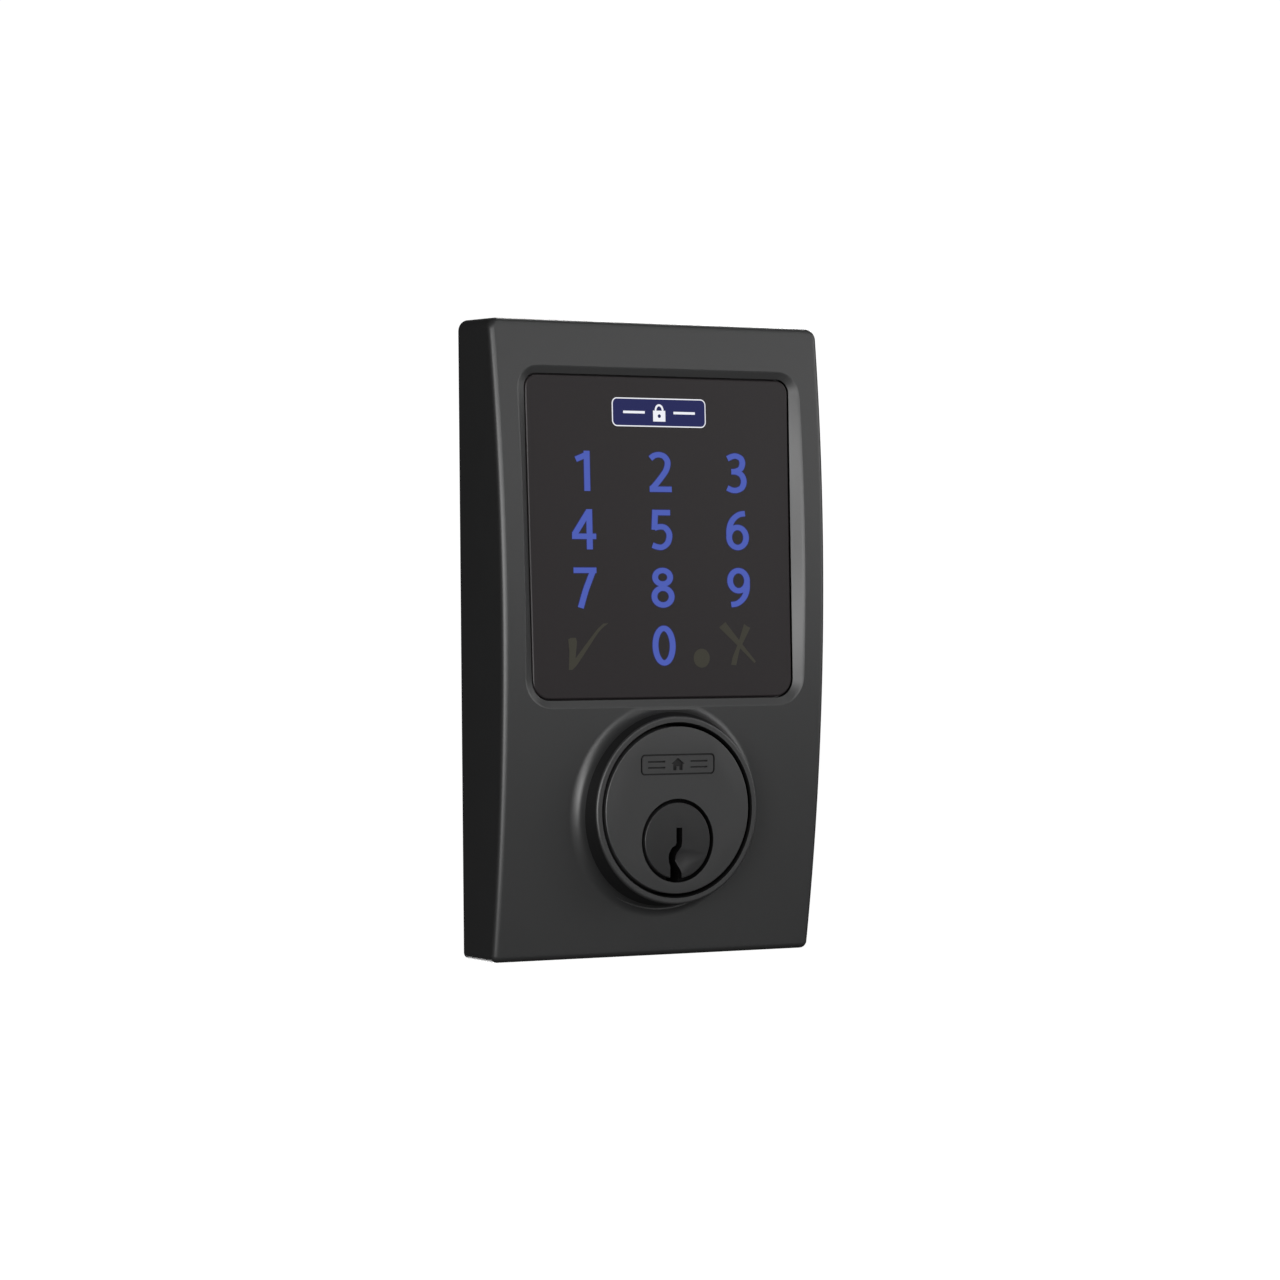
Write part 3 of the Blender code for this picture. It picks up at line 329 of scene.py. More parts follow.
def grained(name, dark, light, rough, metallic=0.0, scale=900.0, bump=0.05, detail=4.0,
            distance=0.00004, stretch=(1.0, 1.0, 1.0), specular=0.5, coat=0.0):
    """A surface whose colour, roughness and height follow fine noise."""
    material, tree, shader = node_tree(name)
    place = add(tree, "ShaderNodeTexCoord")
    mapping = add(tree, "ShaderNodeMapping")
    mapping.inputs["Scale"].default_value = stretch
    noise = add(tree, "ShaderNodeTexNoise", Scale=scale, Detail=detail, Roughness=0.6)
    slow = add(tree, "ShaderNodeTexNoise", Scale=scale / 25, Detail=2.0)
    tree.links.new(place.outputs["Object"], mapping.inputs["Vector"])
    tree.links.new(mapping.outputs["Vector"], noise.inputs["Vector"])
    tree.links.new(place.outputs["Object"], slow.inputs["Vector"])
    colour = add(tree, "ShaderNodeMix", data_type="RGBA")
    colour.inputs[6].default_value = (*dark, 1.0)
    colour.inputs[7].default_value = (*light, 1.0)
    tree.links.new(slow.outputs["Fac"], colour.inputs[0])
    tree.links.new(colour.outputs[2], shader.inputs["Base Color"])
    spread = add(tree, "ShaderNodeMapRange")
    spread.inputs["To Min"].default_value = rough[0]
    spread.inputs["To Max"].default_value = rough[1]
    tree.links.new(noise.outputs["Fac"], spread.inputs["Value"])
    tree.links.new(spread.outputs["Result"], shader.inputs["Roughness"])
    relief = add(tree, "ShaderNodeBump", Strength=bump, Distance=distance)
    tree.links.new(noise.outputs["Fac"], relief.inputs["Height"])
    tree.links.new(relief.outputs["Normal"], shader.inputs["Normal"])
    shader.inputs["Metallic"].default_value = metallic
    shader.inputs["Specular IOR Level"].default_value = specular
    shader.inputs["Coat Weight"].default_value = coat
    return material


def lit(name, colour, strength=1.0):
    """A printed mark lit from behind, a little uneven; on the grey print the glow is painted."""
    material, tree, shader = node_tree(name)
    noise = add(tree, "ShaderNodeTexNoise", Scale=500.0, Detail=2.0)
    mix = add(tree, "ShaderNodeMix", data_type="RGBA")
    mix.inputs[6].default_value = (*[0.93 * c for c in colour], 1.0)
    mix.inputs[7].default_value = (*[1.07 * c for c in colour], 1.0)
    tree.links.new(noise.outputs["Fac"], mix.inputs[0])
    tree.links.new(mix.outputs[2], shader.inputs["Emission Color"])
    shader.inputs["Base Color"].default_value = (0.0, 0.0, 0.0, 1.0)
    shader.inputs["Specular IOR Level"].default_value = 0.1
    shader.inputs["Roughness"].default_value = 0.5
    shader.inputs["Emission Strength"].default_value = strength
    return material


COAT = grained("satin_black_coat", (0.0152, 0.0154, 0.0156), (0.0172, 0.0174, 0.0176),
               (0.38, 0.44), scale=2600.0, bump=0.08)
# Painted shade: a darker copy of the coat for the collar's wall and the engraved lines.
PAINTED_SHADE_COAT = grained("painted_shade_coat", (0.0045, 0.0045, 0.0046), (0.006, 0.006, 0.0062),
                 (0.5, 0.6), scale=2600.0, bump=0.06, specular=0.22)
# Painted shade: a near-black coat for bores, hollows, the keyway and inner cut faces.
PAINTED_SHADE_HOLLOW = grained("painted_shade_hollow", (0.0012, 0.0012, 0.0012), (0.002, 0.002, 0.002),
                 (0.7, 0.8), scale=2600.0, bump=0.1, specular=0.05)
LENS_FINISH = grained("black_touch_panel", (0.0134, 0.0114, 0.0120), (0.0138, 0.0118, 0.0124),
                      (0.29, 0.31), scale=400.0, bump=0.002, specular=0.19)
PLUG_FINISH = grained("plug_black", (0.0085, 0.0085, 0.0088), (0.0105, 0.0105, 0.0108),
                      (0.40, 0.46), scale=2600.0, bump=0.06, specular=0.32)
ZINC = grained("zinc_plate", (0.42, 0.43, 0.44), (0.52, 0.53, 0.55), (0.26, 0.42), 1.0,
               scale=700.0, bump=0.15)
STEEL = grained("hard_steel", (0.24, 0.24, 0.25), (0.34, 0.34, 0.35), (0.22, 0.36), 1.0,
                scale=900.0, bump=0.12)
BRASS = grained("turned_brass", (0.52, 0.36, 0.13), (0.66, 0.47, 0.19), (0.20, 0.34), 1.0,
                scale=800.0, bump=0.12)
SPRING = grained("spring_wire", (0.45, 0.45, 0.46), (0.58, 0.58, 0.6), (0.18, 0.3), 1.0,
                 scale=900.0, bump=0.08)
PLASTIC = grained("moulded_black", (0.018, 0.018, 0.019), (0.028, 0.028, 0.029), (0.5, 0.66),
                  scale=1600.0, bump=0.35)
RUBBER = grained("black_rubber", (0.010, 0.010, 0.010), (0.018, 0.018, 0.018), (0.72, 0.9),
                 scale=1100.0, bump=0.35)
FOAM = grained("grey_foam", (0.04, 0.04, 0.04), (0.09, 0.09, 0.09), (0.85, 0.98),
               scale=1600.0, bump=0.8)
WHITE = grained("white_moulding", (0.66, 0.66, 0.64), (0.76, 0.76, 0.74), (0.42, 0.56),
                scale=900.0, bump=0.1)
BOARD = grained("solder_mask", (0.008, 0.075, 0.028), (0.016, 0.12, 0.045), (0.28, 0.42),
                scale=500.0, bump=0.25)
CHIP = grained("chip_resin", (0.014, 0.014, 0.014), (0.024, 0.024, 0.024), (0.45, 0.6),
               scale=1800.0, bump=0.3)
NYLON = grained("cream_nylon", (0.55, 0.5, 0.38), (0.64, 0.59, 0.46), (0.4, 0.55),
                scale=800.0, bump=0.1)
FILM = grained("sensor_film", (0.5, 0.55, 0.52), (0.58, 0.62, 0.6), (0.15, 0.3),
               scale=300.0, bump=0.05)
LED = grained("led_resin", (0.7, 0.6, 0.2), (0.85, 0.76, 0.35), (0.2, 0.35),
              scale=900.0, bump=0.1)
DIGIT_BLUE = lit("digit_blue", (0.070, 0.107, 0.445))
DIGIT_GLOW = lit("digit_glow", (0.024, 0.025, 0.095))
BADGE_NAVY = lit("badge_navy", (0.016, 0.019, 0.095))
BADGE_WHITE = lit("badge_white", (0.86, 0.87, 0.93))
# Painted light: the grey print glows with its own colour, though nothing lights it.
KEY_GREY = lit("grey_print_painted_glow", (0.044, 0.042, 0.032))

SLOT_FINISH = {
    "black_coated_zinc": COAT,
    "black_glass": LENS_FINISH,
    "grey_foam": FOAM,
    "clear_film": FILM,
    "white_plastic": WHITE,
    "green_board": BOARD,
    "chip_black": CHIP,
    "cream_nylon": NYLON,
    "led_yellow": LED,
    "black_plastic": PLASTIC,
    "black_rubber": RUBBER,
    "zinc_steel": ZINC,
    "hard_steel": STEEL,
    "brass": BRASS,
    "spring_steel": SPRING,
}


# Casing


def collar():
    """The collar round the cylinder, whose cove follows the curve of the front."""
    steps = 18
    reach = radians(84)
    bunching = 1.4  # rows lie closer together where the cove meets the front
    rows = [(FOOT_R + COVE + COVE_MARGIN, -SUNK, True)]
    for step in range(1, steps + 1):
        angle = reach * (step / steps) ** bunching
        out = FOOT_R + COVE * (1 - sin(angle))
        rows.append((out, COVE * (1 - cos(angle)), True))
    for step in range(7):
        angle = pi / 2 * step / 6
        out = RIM_R - RIM_ROUND * (1 - cos(angle))
        rows.append((out, FACE_Y + RIM_ROUND * (1 - sin(angle)), False))
    rows.append((RIM_R - 1.3 * RIM_ROUND, FACE_Y, False))
    rows.append((BORE_R - 0.001, FACE_Y, False))
    rows.append((BORE_R - 0.001, CROWN_Y / 2, False))
    rows.append((FOOT_R + COVE + COVE_MARGIN, CROWN_Y / 2, False))
    mesh = bmesh.new()
    made = []
    for radius, place, on_front in rows:
        line = []
        for i in range(FINE):
            angle = 2 * pi * i / FINE
            x = radius * cos(angle)
            z = CYL_Z + radius * sin(angle)
            line.append(mesh.verts.new((x, front_y(z) - place if on_front else place, z)))
        made.append(line)
    for band, (first, second) in enumerate(zip(made, made[1:] + made[:1])):
        for i in range(FINE):
            j = (i + 1) % FINE
            face = mesh.faces.new((first[i], first[j], second[j], second[i]))
            # The cove takes slot 2, the collar's wall slot 6 with its painted shade, the rest slot
            # 4.
            face.material_index = 2 if band < steps else 6 if band == steps else 4
    bmesh.ops.recalc_face_normals(mesh, faces=mesh.faces)
    return mesh


def window():
    """What is cut away for the lens: the opening, the sloping border and its rounded lip."""
    opening = lens_outline(GAP, LEVELS)
    inner = ring(opening, lens_y)
    border = lens_outline(GAP + BEVEL_WIDTH, LEVELS, GAP + BEVEL_HEIGHT)
    outer = ring(border, front_y)
    border = lens_outline(GAP + BEVEL_WIDTH + LIP, LEVELS, GAP + BEVEL_HEIGHT + LIP)
    lip = ring(border, lambda z: front_y(z) - SUNK)
    rings = [ring(opening, lambda z: lens_y(z) + LEDGE + 0.0005), inner]
    slope = [Vector(b) - Vector(a) for a, b in zip(inner, outer)]
    rings.append([Vector(a) + 0.10 * step for a, step in zip(inner, slope)])
    for share in (0.80, 0.88):
        rings.append([Vector(a) + share * step for a, step in zip(inner, slope)])
    turned = []
    for share in (0.35, 0.7):
        row = []
        for a, step, end in zip(inner, slope, lip):
            start = Vector(a) + 0.88 * step
            middle = Vector(a) + 1.0 * step
            finish = Vector(end)
            row.append(start.lerp(middle, share).lerp(middle.lerp(finish, share), share))
        turned.append(row)
    rings += turned
    rings.append(lip)
    rings.append(ring(border, level(CROWN_Y - 0.004)))
    return loft(rings, (False, False), [3, 4, 4, 4, 4, 4, 4, 5, 3, 3, 3])


def plate_front():
    """The ledge in the casing that the back plate seats on."""
    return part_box("back_plate")[0].y - MARGIN


def boss(node, radius):
    """A boss in the casing for the screw or post called node."""
    low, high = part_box(node)
    x, z = (low.x + high.x) / 2, (low.z + high.z) / 2
    mesh = rod(radius, front_y(z) + WALL / 2, plate_front(), (x, z))
    return mesh


def make_casing():
    support = 0.0004
    rings = [ring(case_outline(0.0), level(REAR_Y))]
    groups = [1]
    for step in range(EDGE_STEPS + 1):
        angle = pi / 2 * step / EDGE_STEPS
        inset = EDGE * (1 - cos(angle))
        drop = EDGE * (1 - sin(angle))
        corners = tuple(radius - inset for radius in CORNERS)
        points = outline(HALF_WIDTH - inset, BOTTOM + inset, TOP - inset, corners)
        rings.append(ring(points, lambda z, drop=drop: front_y(z) + drop))
        groups.append(1)
    inset = EDGE + support
    points = outline(HALF_WIDTH - inset, BOTTOM + inset, TOP - inset, corners)
    rings.append(ring(points, front_y))
    groups += [3, 0]
    # Slot 3 paints shade on the inner cut faces, opening wall and bore; slot 6 on the collar's
    # wall.
    coat = [COAT, COAT, COAT, PAINTED_SHADE_HOLLOW, COAT, COAT, PAINTED_SHADE_COAT]
    casing = piece("casing_shell", loft(rings, (False, True), groups), coat, MODULE, ("casing",))
    combine(casing, collar(), "UNION")

    plate_y = plate_front()
    split_low, split_high = 0.0230, 0.0265
    inner_corner = 0.0020
    tube_wall, rim_wall = 0.0030, 0.0016
    upper = case_outline(WALL, split_high, TOP - 1.5 * WALL, inner_corner, 12)
    depths = (lambda z: lens_y(z) + LEDGE, level(REAR_Y + PAST))
    combine(casing, loft([ring(upper, depth) for depth in depths], groups=[3, 3, 3]))
    lower = case_outline(1.3 * WALL, BOTTOM + 1.3 * WALL, split_low, inner_corner, 12)
    depths = (lambda z: front_y(z) + WALL, level(REAR_Y + PAST))
    combine(casing, loft([ring(lower, depth) for depth in depths], (True, False), [3, 3, 3]))
    start, end = front_y(CYL_Z) + WALL / 2, BORE_END_Y
    combine(casing, rod(BORE_R + tube_wall, start, end, (0.0, CYL_Z), segments=96), "UNION")
    for number in range(1, 5):
        combine(casing, boss(f"plate_screw_{number}", PLATE_BOSS_R), "UNION")
    for number in (1, 2):
        combine(casing, boss(f"cover_screw_{number}", COVER_BOSS_R), "UNION")
    for side in ("left", "right"):
        combine(casing, boss(f"mount_post_{side}", POST_BOSS_R), "UNION")
    rim = case_outline(rim_wall, levels=12)
    depths = (level(plate_y), level(REAR_Y + PAST))
    combine(casing, loft([ring(rim, depth) for depth in depths], groups=[3, 3, 3]))
    chamfer = 0.00025
    bore = revolve(
        [
            (BORE_R + chamfer + PAST, FACE_Y - PAST),
            (BORE_R + chamfer, FACE_Y),
            (BORE_R, FACE_Y + chamfer),
            (BORE_R, BORE_END_Y + PAST),
        ],
        (0.0, CYL_Z),
        segments=FINE,
        turn=pi / FINE,
        group=3,
    )
    combine(casing, bore)
    combine(casing, window())
    nodes = [f"cover_screw_{n}" for n in range(1, 5)] + [f"plate_screw_{n}" for n in range(1, 5)]
    for node in nodes + ["mount_post_left", "mount_post_right"]:
        low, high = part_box(node)
        spot = ((low.x + high.x) / 2, (low.z + high.z) / 2)
        radius = SCREW_HOLE_R if node in nodes else POST_HOLE_R
        combine(casing, rod(radius, low.y - GAP, plate_y + PAST, spot, segments=32))
    smooth(casing, 24.0)
    return casing


def make_lens():
    round_off, flange_thick = 0.0003, 0.0011
    rings = []
    for step in range(5):
        angle = pi / 2 * step / 4
        rings.append(
            ring(
                lens_outline(-round_off * (1 - sin(angle)), 12),
                lambda z, a=angle: lens_y(z) + round_off * (1 - cos(a)),
            )
        )
    back = LENS_THICK - flange_thick
    rings.append(ring(lens_outline(0.0, 12), lambda z: lens_y(z) + back))
    rings.append(ring(lens_outline(FLANGE, 12), lambda z: lens_y(z) + back))
    rings.append(ring(lens_outline(FLANGE, 12), lambda z: lens_y(z) + LENS_THICK))
    lens = piece("touch_panel", loft(rings, groups=[1, 1, 1, 1, 2, 3, 2, 0, 3]),
                 [LENS_FINISH] * 4, MODULE, ("touch_lens",))
    smooth(lens, 40.0)


# Printed marks on the touch window

MARK = 0.00003


def on_lens(points, centre, near=MARK):
    """The outline's points about centre, just in front of the window."""
    return [(centre[0] + x, lens_y(centre[1] + z) - near, centre[1] + z) for x, z in points]


def ribbon(mesh, path, pen, centre, near=MARK, closed=False):
    """A flat stroke along path by a pen that is pen[0] wide sideways and pen[1] tall."""
    count = len(path)
    sides = ([], [])
    for i, (x, z) in enumerate(path):
        before = path[i - 1] if i or closed else path[i]
        after = path[(i + 1) % count] if i < count - 1 or closed else path[i]
        along = Vector((after[0] - before[0], after[1] - before[1])).normalized()
        for side, sign in zip(sides, (0.5, -0.5)):
            side.append((x - sign * along.y * pen[0], z + sign * along.x * pen[1]))
    left = [mesh.verts.new(p) for p in on_lens(sides[0], centre, near)]
    right = [mesh.verts.new(p) for p in on_lens(sides[1], centre, near)]
    for i in range(count if closed else count - 1):
        j = (i + 1) % count
        mesh.faces.new((left[i], left[j], right[j], right[i]))


def flat_shape(mesh, points, centre, near=MARK):
    mesh.faces.new([mesh.verts.new(p) for p in on_lens(points, centre, near)])


DIGIT_HEIGHT = 0.00805
PEN = (0.00136, 0.00108)
PITCH_X = 0.01816
PITCH_Z = 0.01169
KEYS_Z = 0.0742


def curve(*points, steps=10):
    """A smooth path through points, as a chain of Catmull-Rom spans."""
    path = []
    rows = [points[0], *points, points[-1]]
    for a, b, c, d in zip(rows, rows[1:], rows[2:], rows[3:]):
        for i in range(steps):
            t = i / steps
            path.append(
                tuple(
                    0.5 * (2 * q + (r - p) * t + (2 * p - 5 * q + 4 * r - s) * t**2
                           + (3 * q - p - 3 * r + s) * t**3)
                    for p, q, r, s in zip(a, b, c, d)
                )
            )
    return path + [points[-1]]


def digit_strokes(digit):
    """Pen strokes of a digit about its middle, in digit heights, with their closing."""
    px, pz = PEN[0] / DIGIT_HEIGHT / 2, PEN[1] / DIGIT_HEIGHT / 2
    top, foot = 0.5 - pz, -0.5 + pz
    if digit == 0:
        return [(arc((0, 0), (0.338 - px, top), 0, 2 * pi, 44)[:-1], True)]
    if digit == 1:
        return [([(0.118, -0.5), (0.118, 0.5)], False),
                ([(0.10, 0.405), (-0.02, 0.352), (-0.20, 0.285)], False)]
    if digit == 2:
        bowl = curve((-0.285, 0.335), (-0.17, 0.41), (-0.02, top), (0.13, 0.385), (0.218, 0.25),
                     (0.175, 0.06), (0.03, -0.13), (-0.16, -0.33), (-0.26, foot + 0.015))
        return [(bowl, False), ([(-0.325, foot), (0.325, foot)], False)]
    if digit == 3:
        upper = curve((-0.255, 0.365), (-0.12, 0.42), (0.01, top), (0.15, 0.37), (0.19, 0.245),
                      (0.13, 0.11), (-0.02, 0.045), (-0.145, 0.035))
        lower = curve((-0.145, 0.035), (0.02, 0.025), (0.165, -0.055), (0.222, -0.205),
                      (0.165, -0.36), (0.01, foot), (-0.14, foot + 0.005), (-0.275, -0.375))
        return [(upper, False), (lower, False)]
    if digit == 4:
        return [([(0.155, -0.5), (0.155, 0.5)], False),
                ([(0.125, 0.43), (-0.285, -0.135)], False),
                ([(-0.352, -0.175), (0.345, -0.175)], False)]
    if digit == 5:
        bowl = curve((-0.205, 0.045), (-0.07, 0.075), (0.09, 0.06), (0.205, -0.055),
                     (0.222, -0.19), (0.155, -0.345), (0.01, foot), (-0.14, foot + 0.005),
                     (-0.275, -0.385))
        return [([(0.262, top), (-0.255, top)], False),
                ([(-0.178, 0.5), (-0.195, 0.25), (-0.212, 0.0)], False), (bowl, False)]
    if digit in (6, 9):
        bowl = arc((0.0, -0.178), (0.338 - px, 0.322 - pz), 0, 2 * pi, 40)[:-1]
        back = curve((-0.25, -0.16), (-0.245, 0.02), (-0.19, 0.19), (-0.08, 0.32),
                     (0.07, 0.405), (0.235, top - 0.005))
        turn = 1 if digit == 6 else -1
        return [([(turn * x, turn * z) for x, z in bowl], True),
                ([(turn * x, turn * z) for x, z in back], False)]
    if digit == 7:
        slant = curve((0.235, 0.43), (0.115, 0.17), (0.0, -0.09), (-0.145, -0.5))
        return [([(-0.33, top), (0.33, top)], False), (slant, False)]
    upper = arc((0.0, 0.262), (0.305 - px, 0.238 - pz), 0, 2 * pi, 36)[:-1]
    lower = arc((0.0, -0.222), (0.338 - px, 0.278 - pz), 0, 2 * pi, 36)[:-1]
    return [(upper, True), (lower, True)]


def make_digit(digit, centre):
    """A lit digit with a dimmer glow round its edge."""
    for name, finish, spread, near in (
        (f"digit_{digit}_glow", DIGIT_GLOW, 0.00030, 0.5 * MARK),
        (f"digit_{digit}", DIGIT_BLUE, 0.0, 2 * MARK),
    ):
        mesh = bmesh.new()
        pen = (PEN[0] + spread, PEN[1] + spread)
        for path, closed in digit_strokes(digit):
            path = [(x * DIGIT_HEIGHT, z * DIGIT_HEIGHT) for x, z in path]
            ribbon(mesh, path, pen, centre, near, closed)
            near += 0.000002
        piece(name, mesh, finish)


def make_marks():
    rows = ((1, 2, 3), (4, 5, 6), (7, 8, 9), (None, 0, None))
    for row, digits in enumerate(rows):
        for column, digit in zip((-1, 0, 1), digits):
            if digit is not None:
                make_digit(digit, (column * PITCH_X, KEYS_Z - row * PITCH_Z))
    foot_z = KEYS_Z - 3 * PITCH_Z
    tick = bmesh.new()
    long_side = curve((0.0052, 0.0046), (0.0030, 0.0029), (0.0002, -0.0006), (-0.0022, -0.0036),
                      (-0.0034, -0.0047))
    points = [(-0.0042, -0.0047), (-0.0040, -0.0010), (-0.0042, 0.0014), (-0.0036, 0.0017),
              (-0.0024, 0.0017), (-0.0022, 0.0008), (-0.0026, -0.0024)]
    points += [(0.0004, 0.0010), (0.0026, 0.0034), (0.0040, 0.0045)]
    flat_shape(tick, points + long_side, (-PITCH_X, foot_z))
    piece("tick_mark", tick, KEY_GREY)
    cross = bmesh.new()
    falling = [(-0.0049, 0.0036), (-0.0034, 0.0047), (0.0000, 0.0008), (0.0038, -0.0034),
               (0.0034, -0.0037), (-0.0007, 0.0000)]
    rising = [(0.0011, 0.0043), (0.0019, 0.0038), (0.0026, 0.0035), (-0.0001, -0.0010),
              (-0.0010, -0.0041), (-0.0022, -0.0040), (-0.0019, -0.0026), (-0.0004, 0.0004)]
    flat_shape(cross, falling, (PITCH_X, foot_z))
    flat_shape(cross, rising, (PITCH_X, foot_z), 1.1 * MARK)
    piece("cross_mark", cross, KEY_GREY)
    dot = bmesh.new()
    spot = (0.0089, foot_z - 0.0026)
    flat_shape(dot, arc((0.0, 0.0), 0.00193, 0, 2 * pi, 36)[:-1], spot)
    piece("dot_mark", dot, KEY_GREY)


def make_badge():
    """An upright badge with a white line round it and a padlock."""
    low, high = LENS_TOP - 0.0100, LENS_TOP - 0.0042
    half = 0.0111
    centre = (0.0, (low + high) / 2)
    tall = (high - low) / 2

    def plate(inset):
        corner = 0.0012 - inset
        points = outline(half - inset, MIDDLE - tall + inset, MIDDLE + tall - inset, corner, 1, 0.0)
        return [(x, z - MIDDLE) for x, z in points]

    white = bmesh.new()
    white.faces.new([white.verts.new(p) for p in on_lens(plate(0.0), centre, MARK)])
    navy = bmesh.new()
    navy.faces.new([navy.verts.new(p) for p in on_lens(plate(0.00022), centre, 2 * MARK)])
    near = 3 * MARK
    shackle = arc((0.0, 0.0004), (0.00085, 0.0011), 0.0, pi, 14)
    ribbon(white, shackle, (0.00042, 0.00042), centre, near)
    body = [(-0.00145, -0.0018), (0.00145, -0.0018), (0.00145, 0.0004), (-0.00145, 0.0004)]
    white.faces.new([white.verts.new(p) for p in on_lens(body, centre, near)])
    for side in (-1, 1):
        bars = [(side * 0.0034, 0.0), (side * 0.0085, 0.0)]
        ribbon(white, bars, (0.0005, 0.0005), centre, near)
    hole = arc((0.0, -0.0007), 0.00038, 0, 2 * pi, 16)[:-1]
    navy.faces.new([navy.verts.new(p) for p in on_lens(hole, centre, 4 * MARK)])
    piece("badge_white", white, BADGE_WHITE)
    piece("badge_navy", navy, BADGE_NAVY)


# Cylinder and plug


def rounded_disc(radius, front, rear, edge, steps=6):
    """Profile of a disc with a rounded front edge."""
    points = []
    for step in range(steps + 1):
        angle = pi / 2 * (1 - step / steps)
        points.append((radius - edge + edge * cos(angle), front + edge * (1 - sin(angle))))
    return points + [(radius, rear)]


def make_housing():
    flange_y = plate_front()
    flange_front = flange_y - FLANGE_THICK
    flange_r, rear_r, rear_edge = HOUSING_HIGH.x, 0.0156, 0.0004
    profile = rounded_disc(FACE_R, FACE_Y, flange_front, FACE_ROUND)
    profile += [(flange_r, flange_front), (flange_r, flange_y), (rear_r, flange_y)]
    profile += [(rear_r, HOUSING_HIGH.y - rear_edge), (rear_r - rear_edge, HOUSING_HIGH.y)]
    # Slot 1 paints shade on the engraved lines, slot 2 on the bore, pocket and hollow below the
    # keyway.
    housing = piece("lock_cylinder", revolve(profile, (0.0, CYL_Z), segments=FINE),
                    [COAT, PAINTED_SHADE_COAT, PAINTED_SHADE_HOLLOW], MODULE, ("cylinder_housing",))
    above = HOUSING_HIGH.z
    corners = [(-0.03, above), (0.03, above), (0.03, above + 0.02), (-0.03, above + 0.02)]
    combine(housing, prism(corners, flange_front, flange_y))
    pocket, pocket_depth, body = 0.00835, 0.0016, 0.00655
    bore = revolve(
        [
            (pocket + 0.0006, FACE_Y - 0.0005),
            (pocket + 0.0001, FACE_Y),
            (pocket, FACE_Y + 0.0001),
            (pocket, FACE_Y + pocket_depth),
            (body, FACE_Y + pocket_depth),
            (body, HOUSING_HIGH.y + PAST),
        ],
        segments=FINE,
        turn=pi / FINE,
        group=2,
    )
    combine(housing, bore)
    foot = [(-0.0018, -0.0092), (0.001, -0.0092), (0.001, -0.0060), (-0.0018, -0.0060)]
    combine(housing, prism(foot, FACE_Y + 0.0012, FACE_Y + 0.009, 2))
    strip_low, strip_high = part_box("chamber_strip")
    side = strip_high.x + MARGIN
    corners = [(-side, strip_low.z - MARGIN), (side, strip_low.z - MARGIN)]
    corners += [(side, strip_high.z + 0.02), (-side, strip_high.z + 0.02)]
    combine(housing, prism(corners, strip_low.y - MARGIN, strip_high.y + MARGIN))
    for number in range(1, 6):
        low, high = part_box(f"driver_pin_{number}")
        y = (low.y + high.y) / 2
        combine(housing, rod(0.0015, 0.0033, strip_low.z, (0.0, y), "Z", 32))
    for node, radius in (("anti_drill_pin_left", 0.00145), ("anti_drill_pin_right", 0.00145),
                         ("cylinder_screw_1", 0.00135), ("cylinder_screw_2", 0.00135)):
        low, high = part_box(node)
        spot = ((low.x + high.x) / 2, (low.z + high.z) / 2)
        start, end = low.y - 2 * MARGIN, HOUSING_HIGH.y + PAST
        if node.startswith("cylinder_screw"):
            start, end = flange_front - PAST, flange_y + PAST
        combine(housing, rod(radius, start, end, spot, segments=24))
    engrave(housing)
    smooth(housing, 24.0)


def engrave(housing):
    """A plain upright frame with a small house, cut into the face above the plug."""
    depth, above = 0.00035, 0.0003
    centre_z = CYL_Z + 0.0092
    half, tall, line = 0.0087, 0.0021, 0.00034

    def box_outline(inset):
        corner = 0.0009 - inset
        points = outline(half - inset, MIDDLE - tall + inset, MIDDLE + tall - inset, corner, 1, 0.0,
                         4)
        return [(x, z - MIDDLE + centre_z) for x, z in points]

    # The cut faces take slot 1, the coat painted in shade.
    mesh = bmesh.new()
    rows = []
    for points, y in ((box_outline(0.0), FACE_Y - above), (box_outline(line), FACE_Y - above),
                      (box_outline(line), FACE_Y + depth), (box_outline(0.0), FACE_Y + depth)):
        rows.append([mesh.verts.new((x, y, z)) for x, z in points])
    count = len(rows[0])
    for first, second in zip(rows, rows[1:] + rows[:1]):
        for i in range(count):
            j = (i + 1) % count
            mesh.faces.new((first[i], first[j], second[j], second[i])).material_index = 1
    bmesh.ops.recalc_face_normals(mesh, faces=mesh.faces)
    combine(housing, mesh)
    roof = [(-0.0016, 0.0001), (0.0, 0.0013), (0.0016, 0.0001), (0.0011, 0.0001),
            (0.0011, -0.0012), (0.00035, -0.0012), (0.00035, -0.0004), (-0.00035, -0.0004),
            (-0.00035, -0.0012), (-0.0011, -0.0012), (-0.0011, 0.0001)]
    house = [(x, z + centre_z) for x, z in roof]
    combine(housing, prism(house, FACE_Y - above, FACE_Y + depth, 1))
    for side in (-1, 1):
        for drop in (-0.0006, 0.0006):
            x0, x1 = side * 0.0030, side * 0.0070
            z0, z1 = centre_z + drop - line / 2, centre_z + drop + line / 2
            corners = [(x0, z0), (x1, z0), (x1, z1), (x0, z1)]
            combine(housing, prism(corners, FACE_Y - above, FACE_Y + depth, 1))


def keyway():
    left = [(-0.00030, 0.0026), (-0.00030, -0.0004), (-0.00050, -0.0009), (-0.00120, -0.0013)]
    left += [(-0.00165, -0.0018), (-0.00205, -0.0026), (-0.00215, -0.0034), (-0.00205, -0.0043)]
    left += [(-0.00175, -0.0052), (-0.00175, -0.0090)]
    right = [(0.00095, -0.0090), (0.00095, -0.0066), (0.00055, -0.0058), (0.00005, -0.0048)]
    right += [(-0.00020, -0.0040), (-0.00030, -0.0032), (-0.00010, -0.0024), (0.00040, -0.0018)]
    right += [(0.00090, -0.0012), (0.00105, -0.0004), (0.00105, 0.0026)]
    return left + right


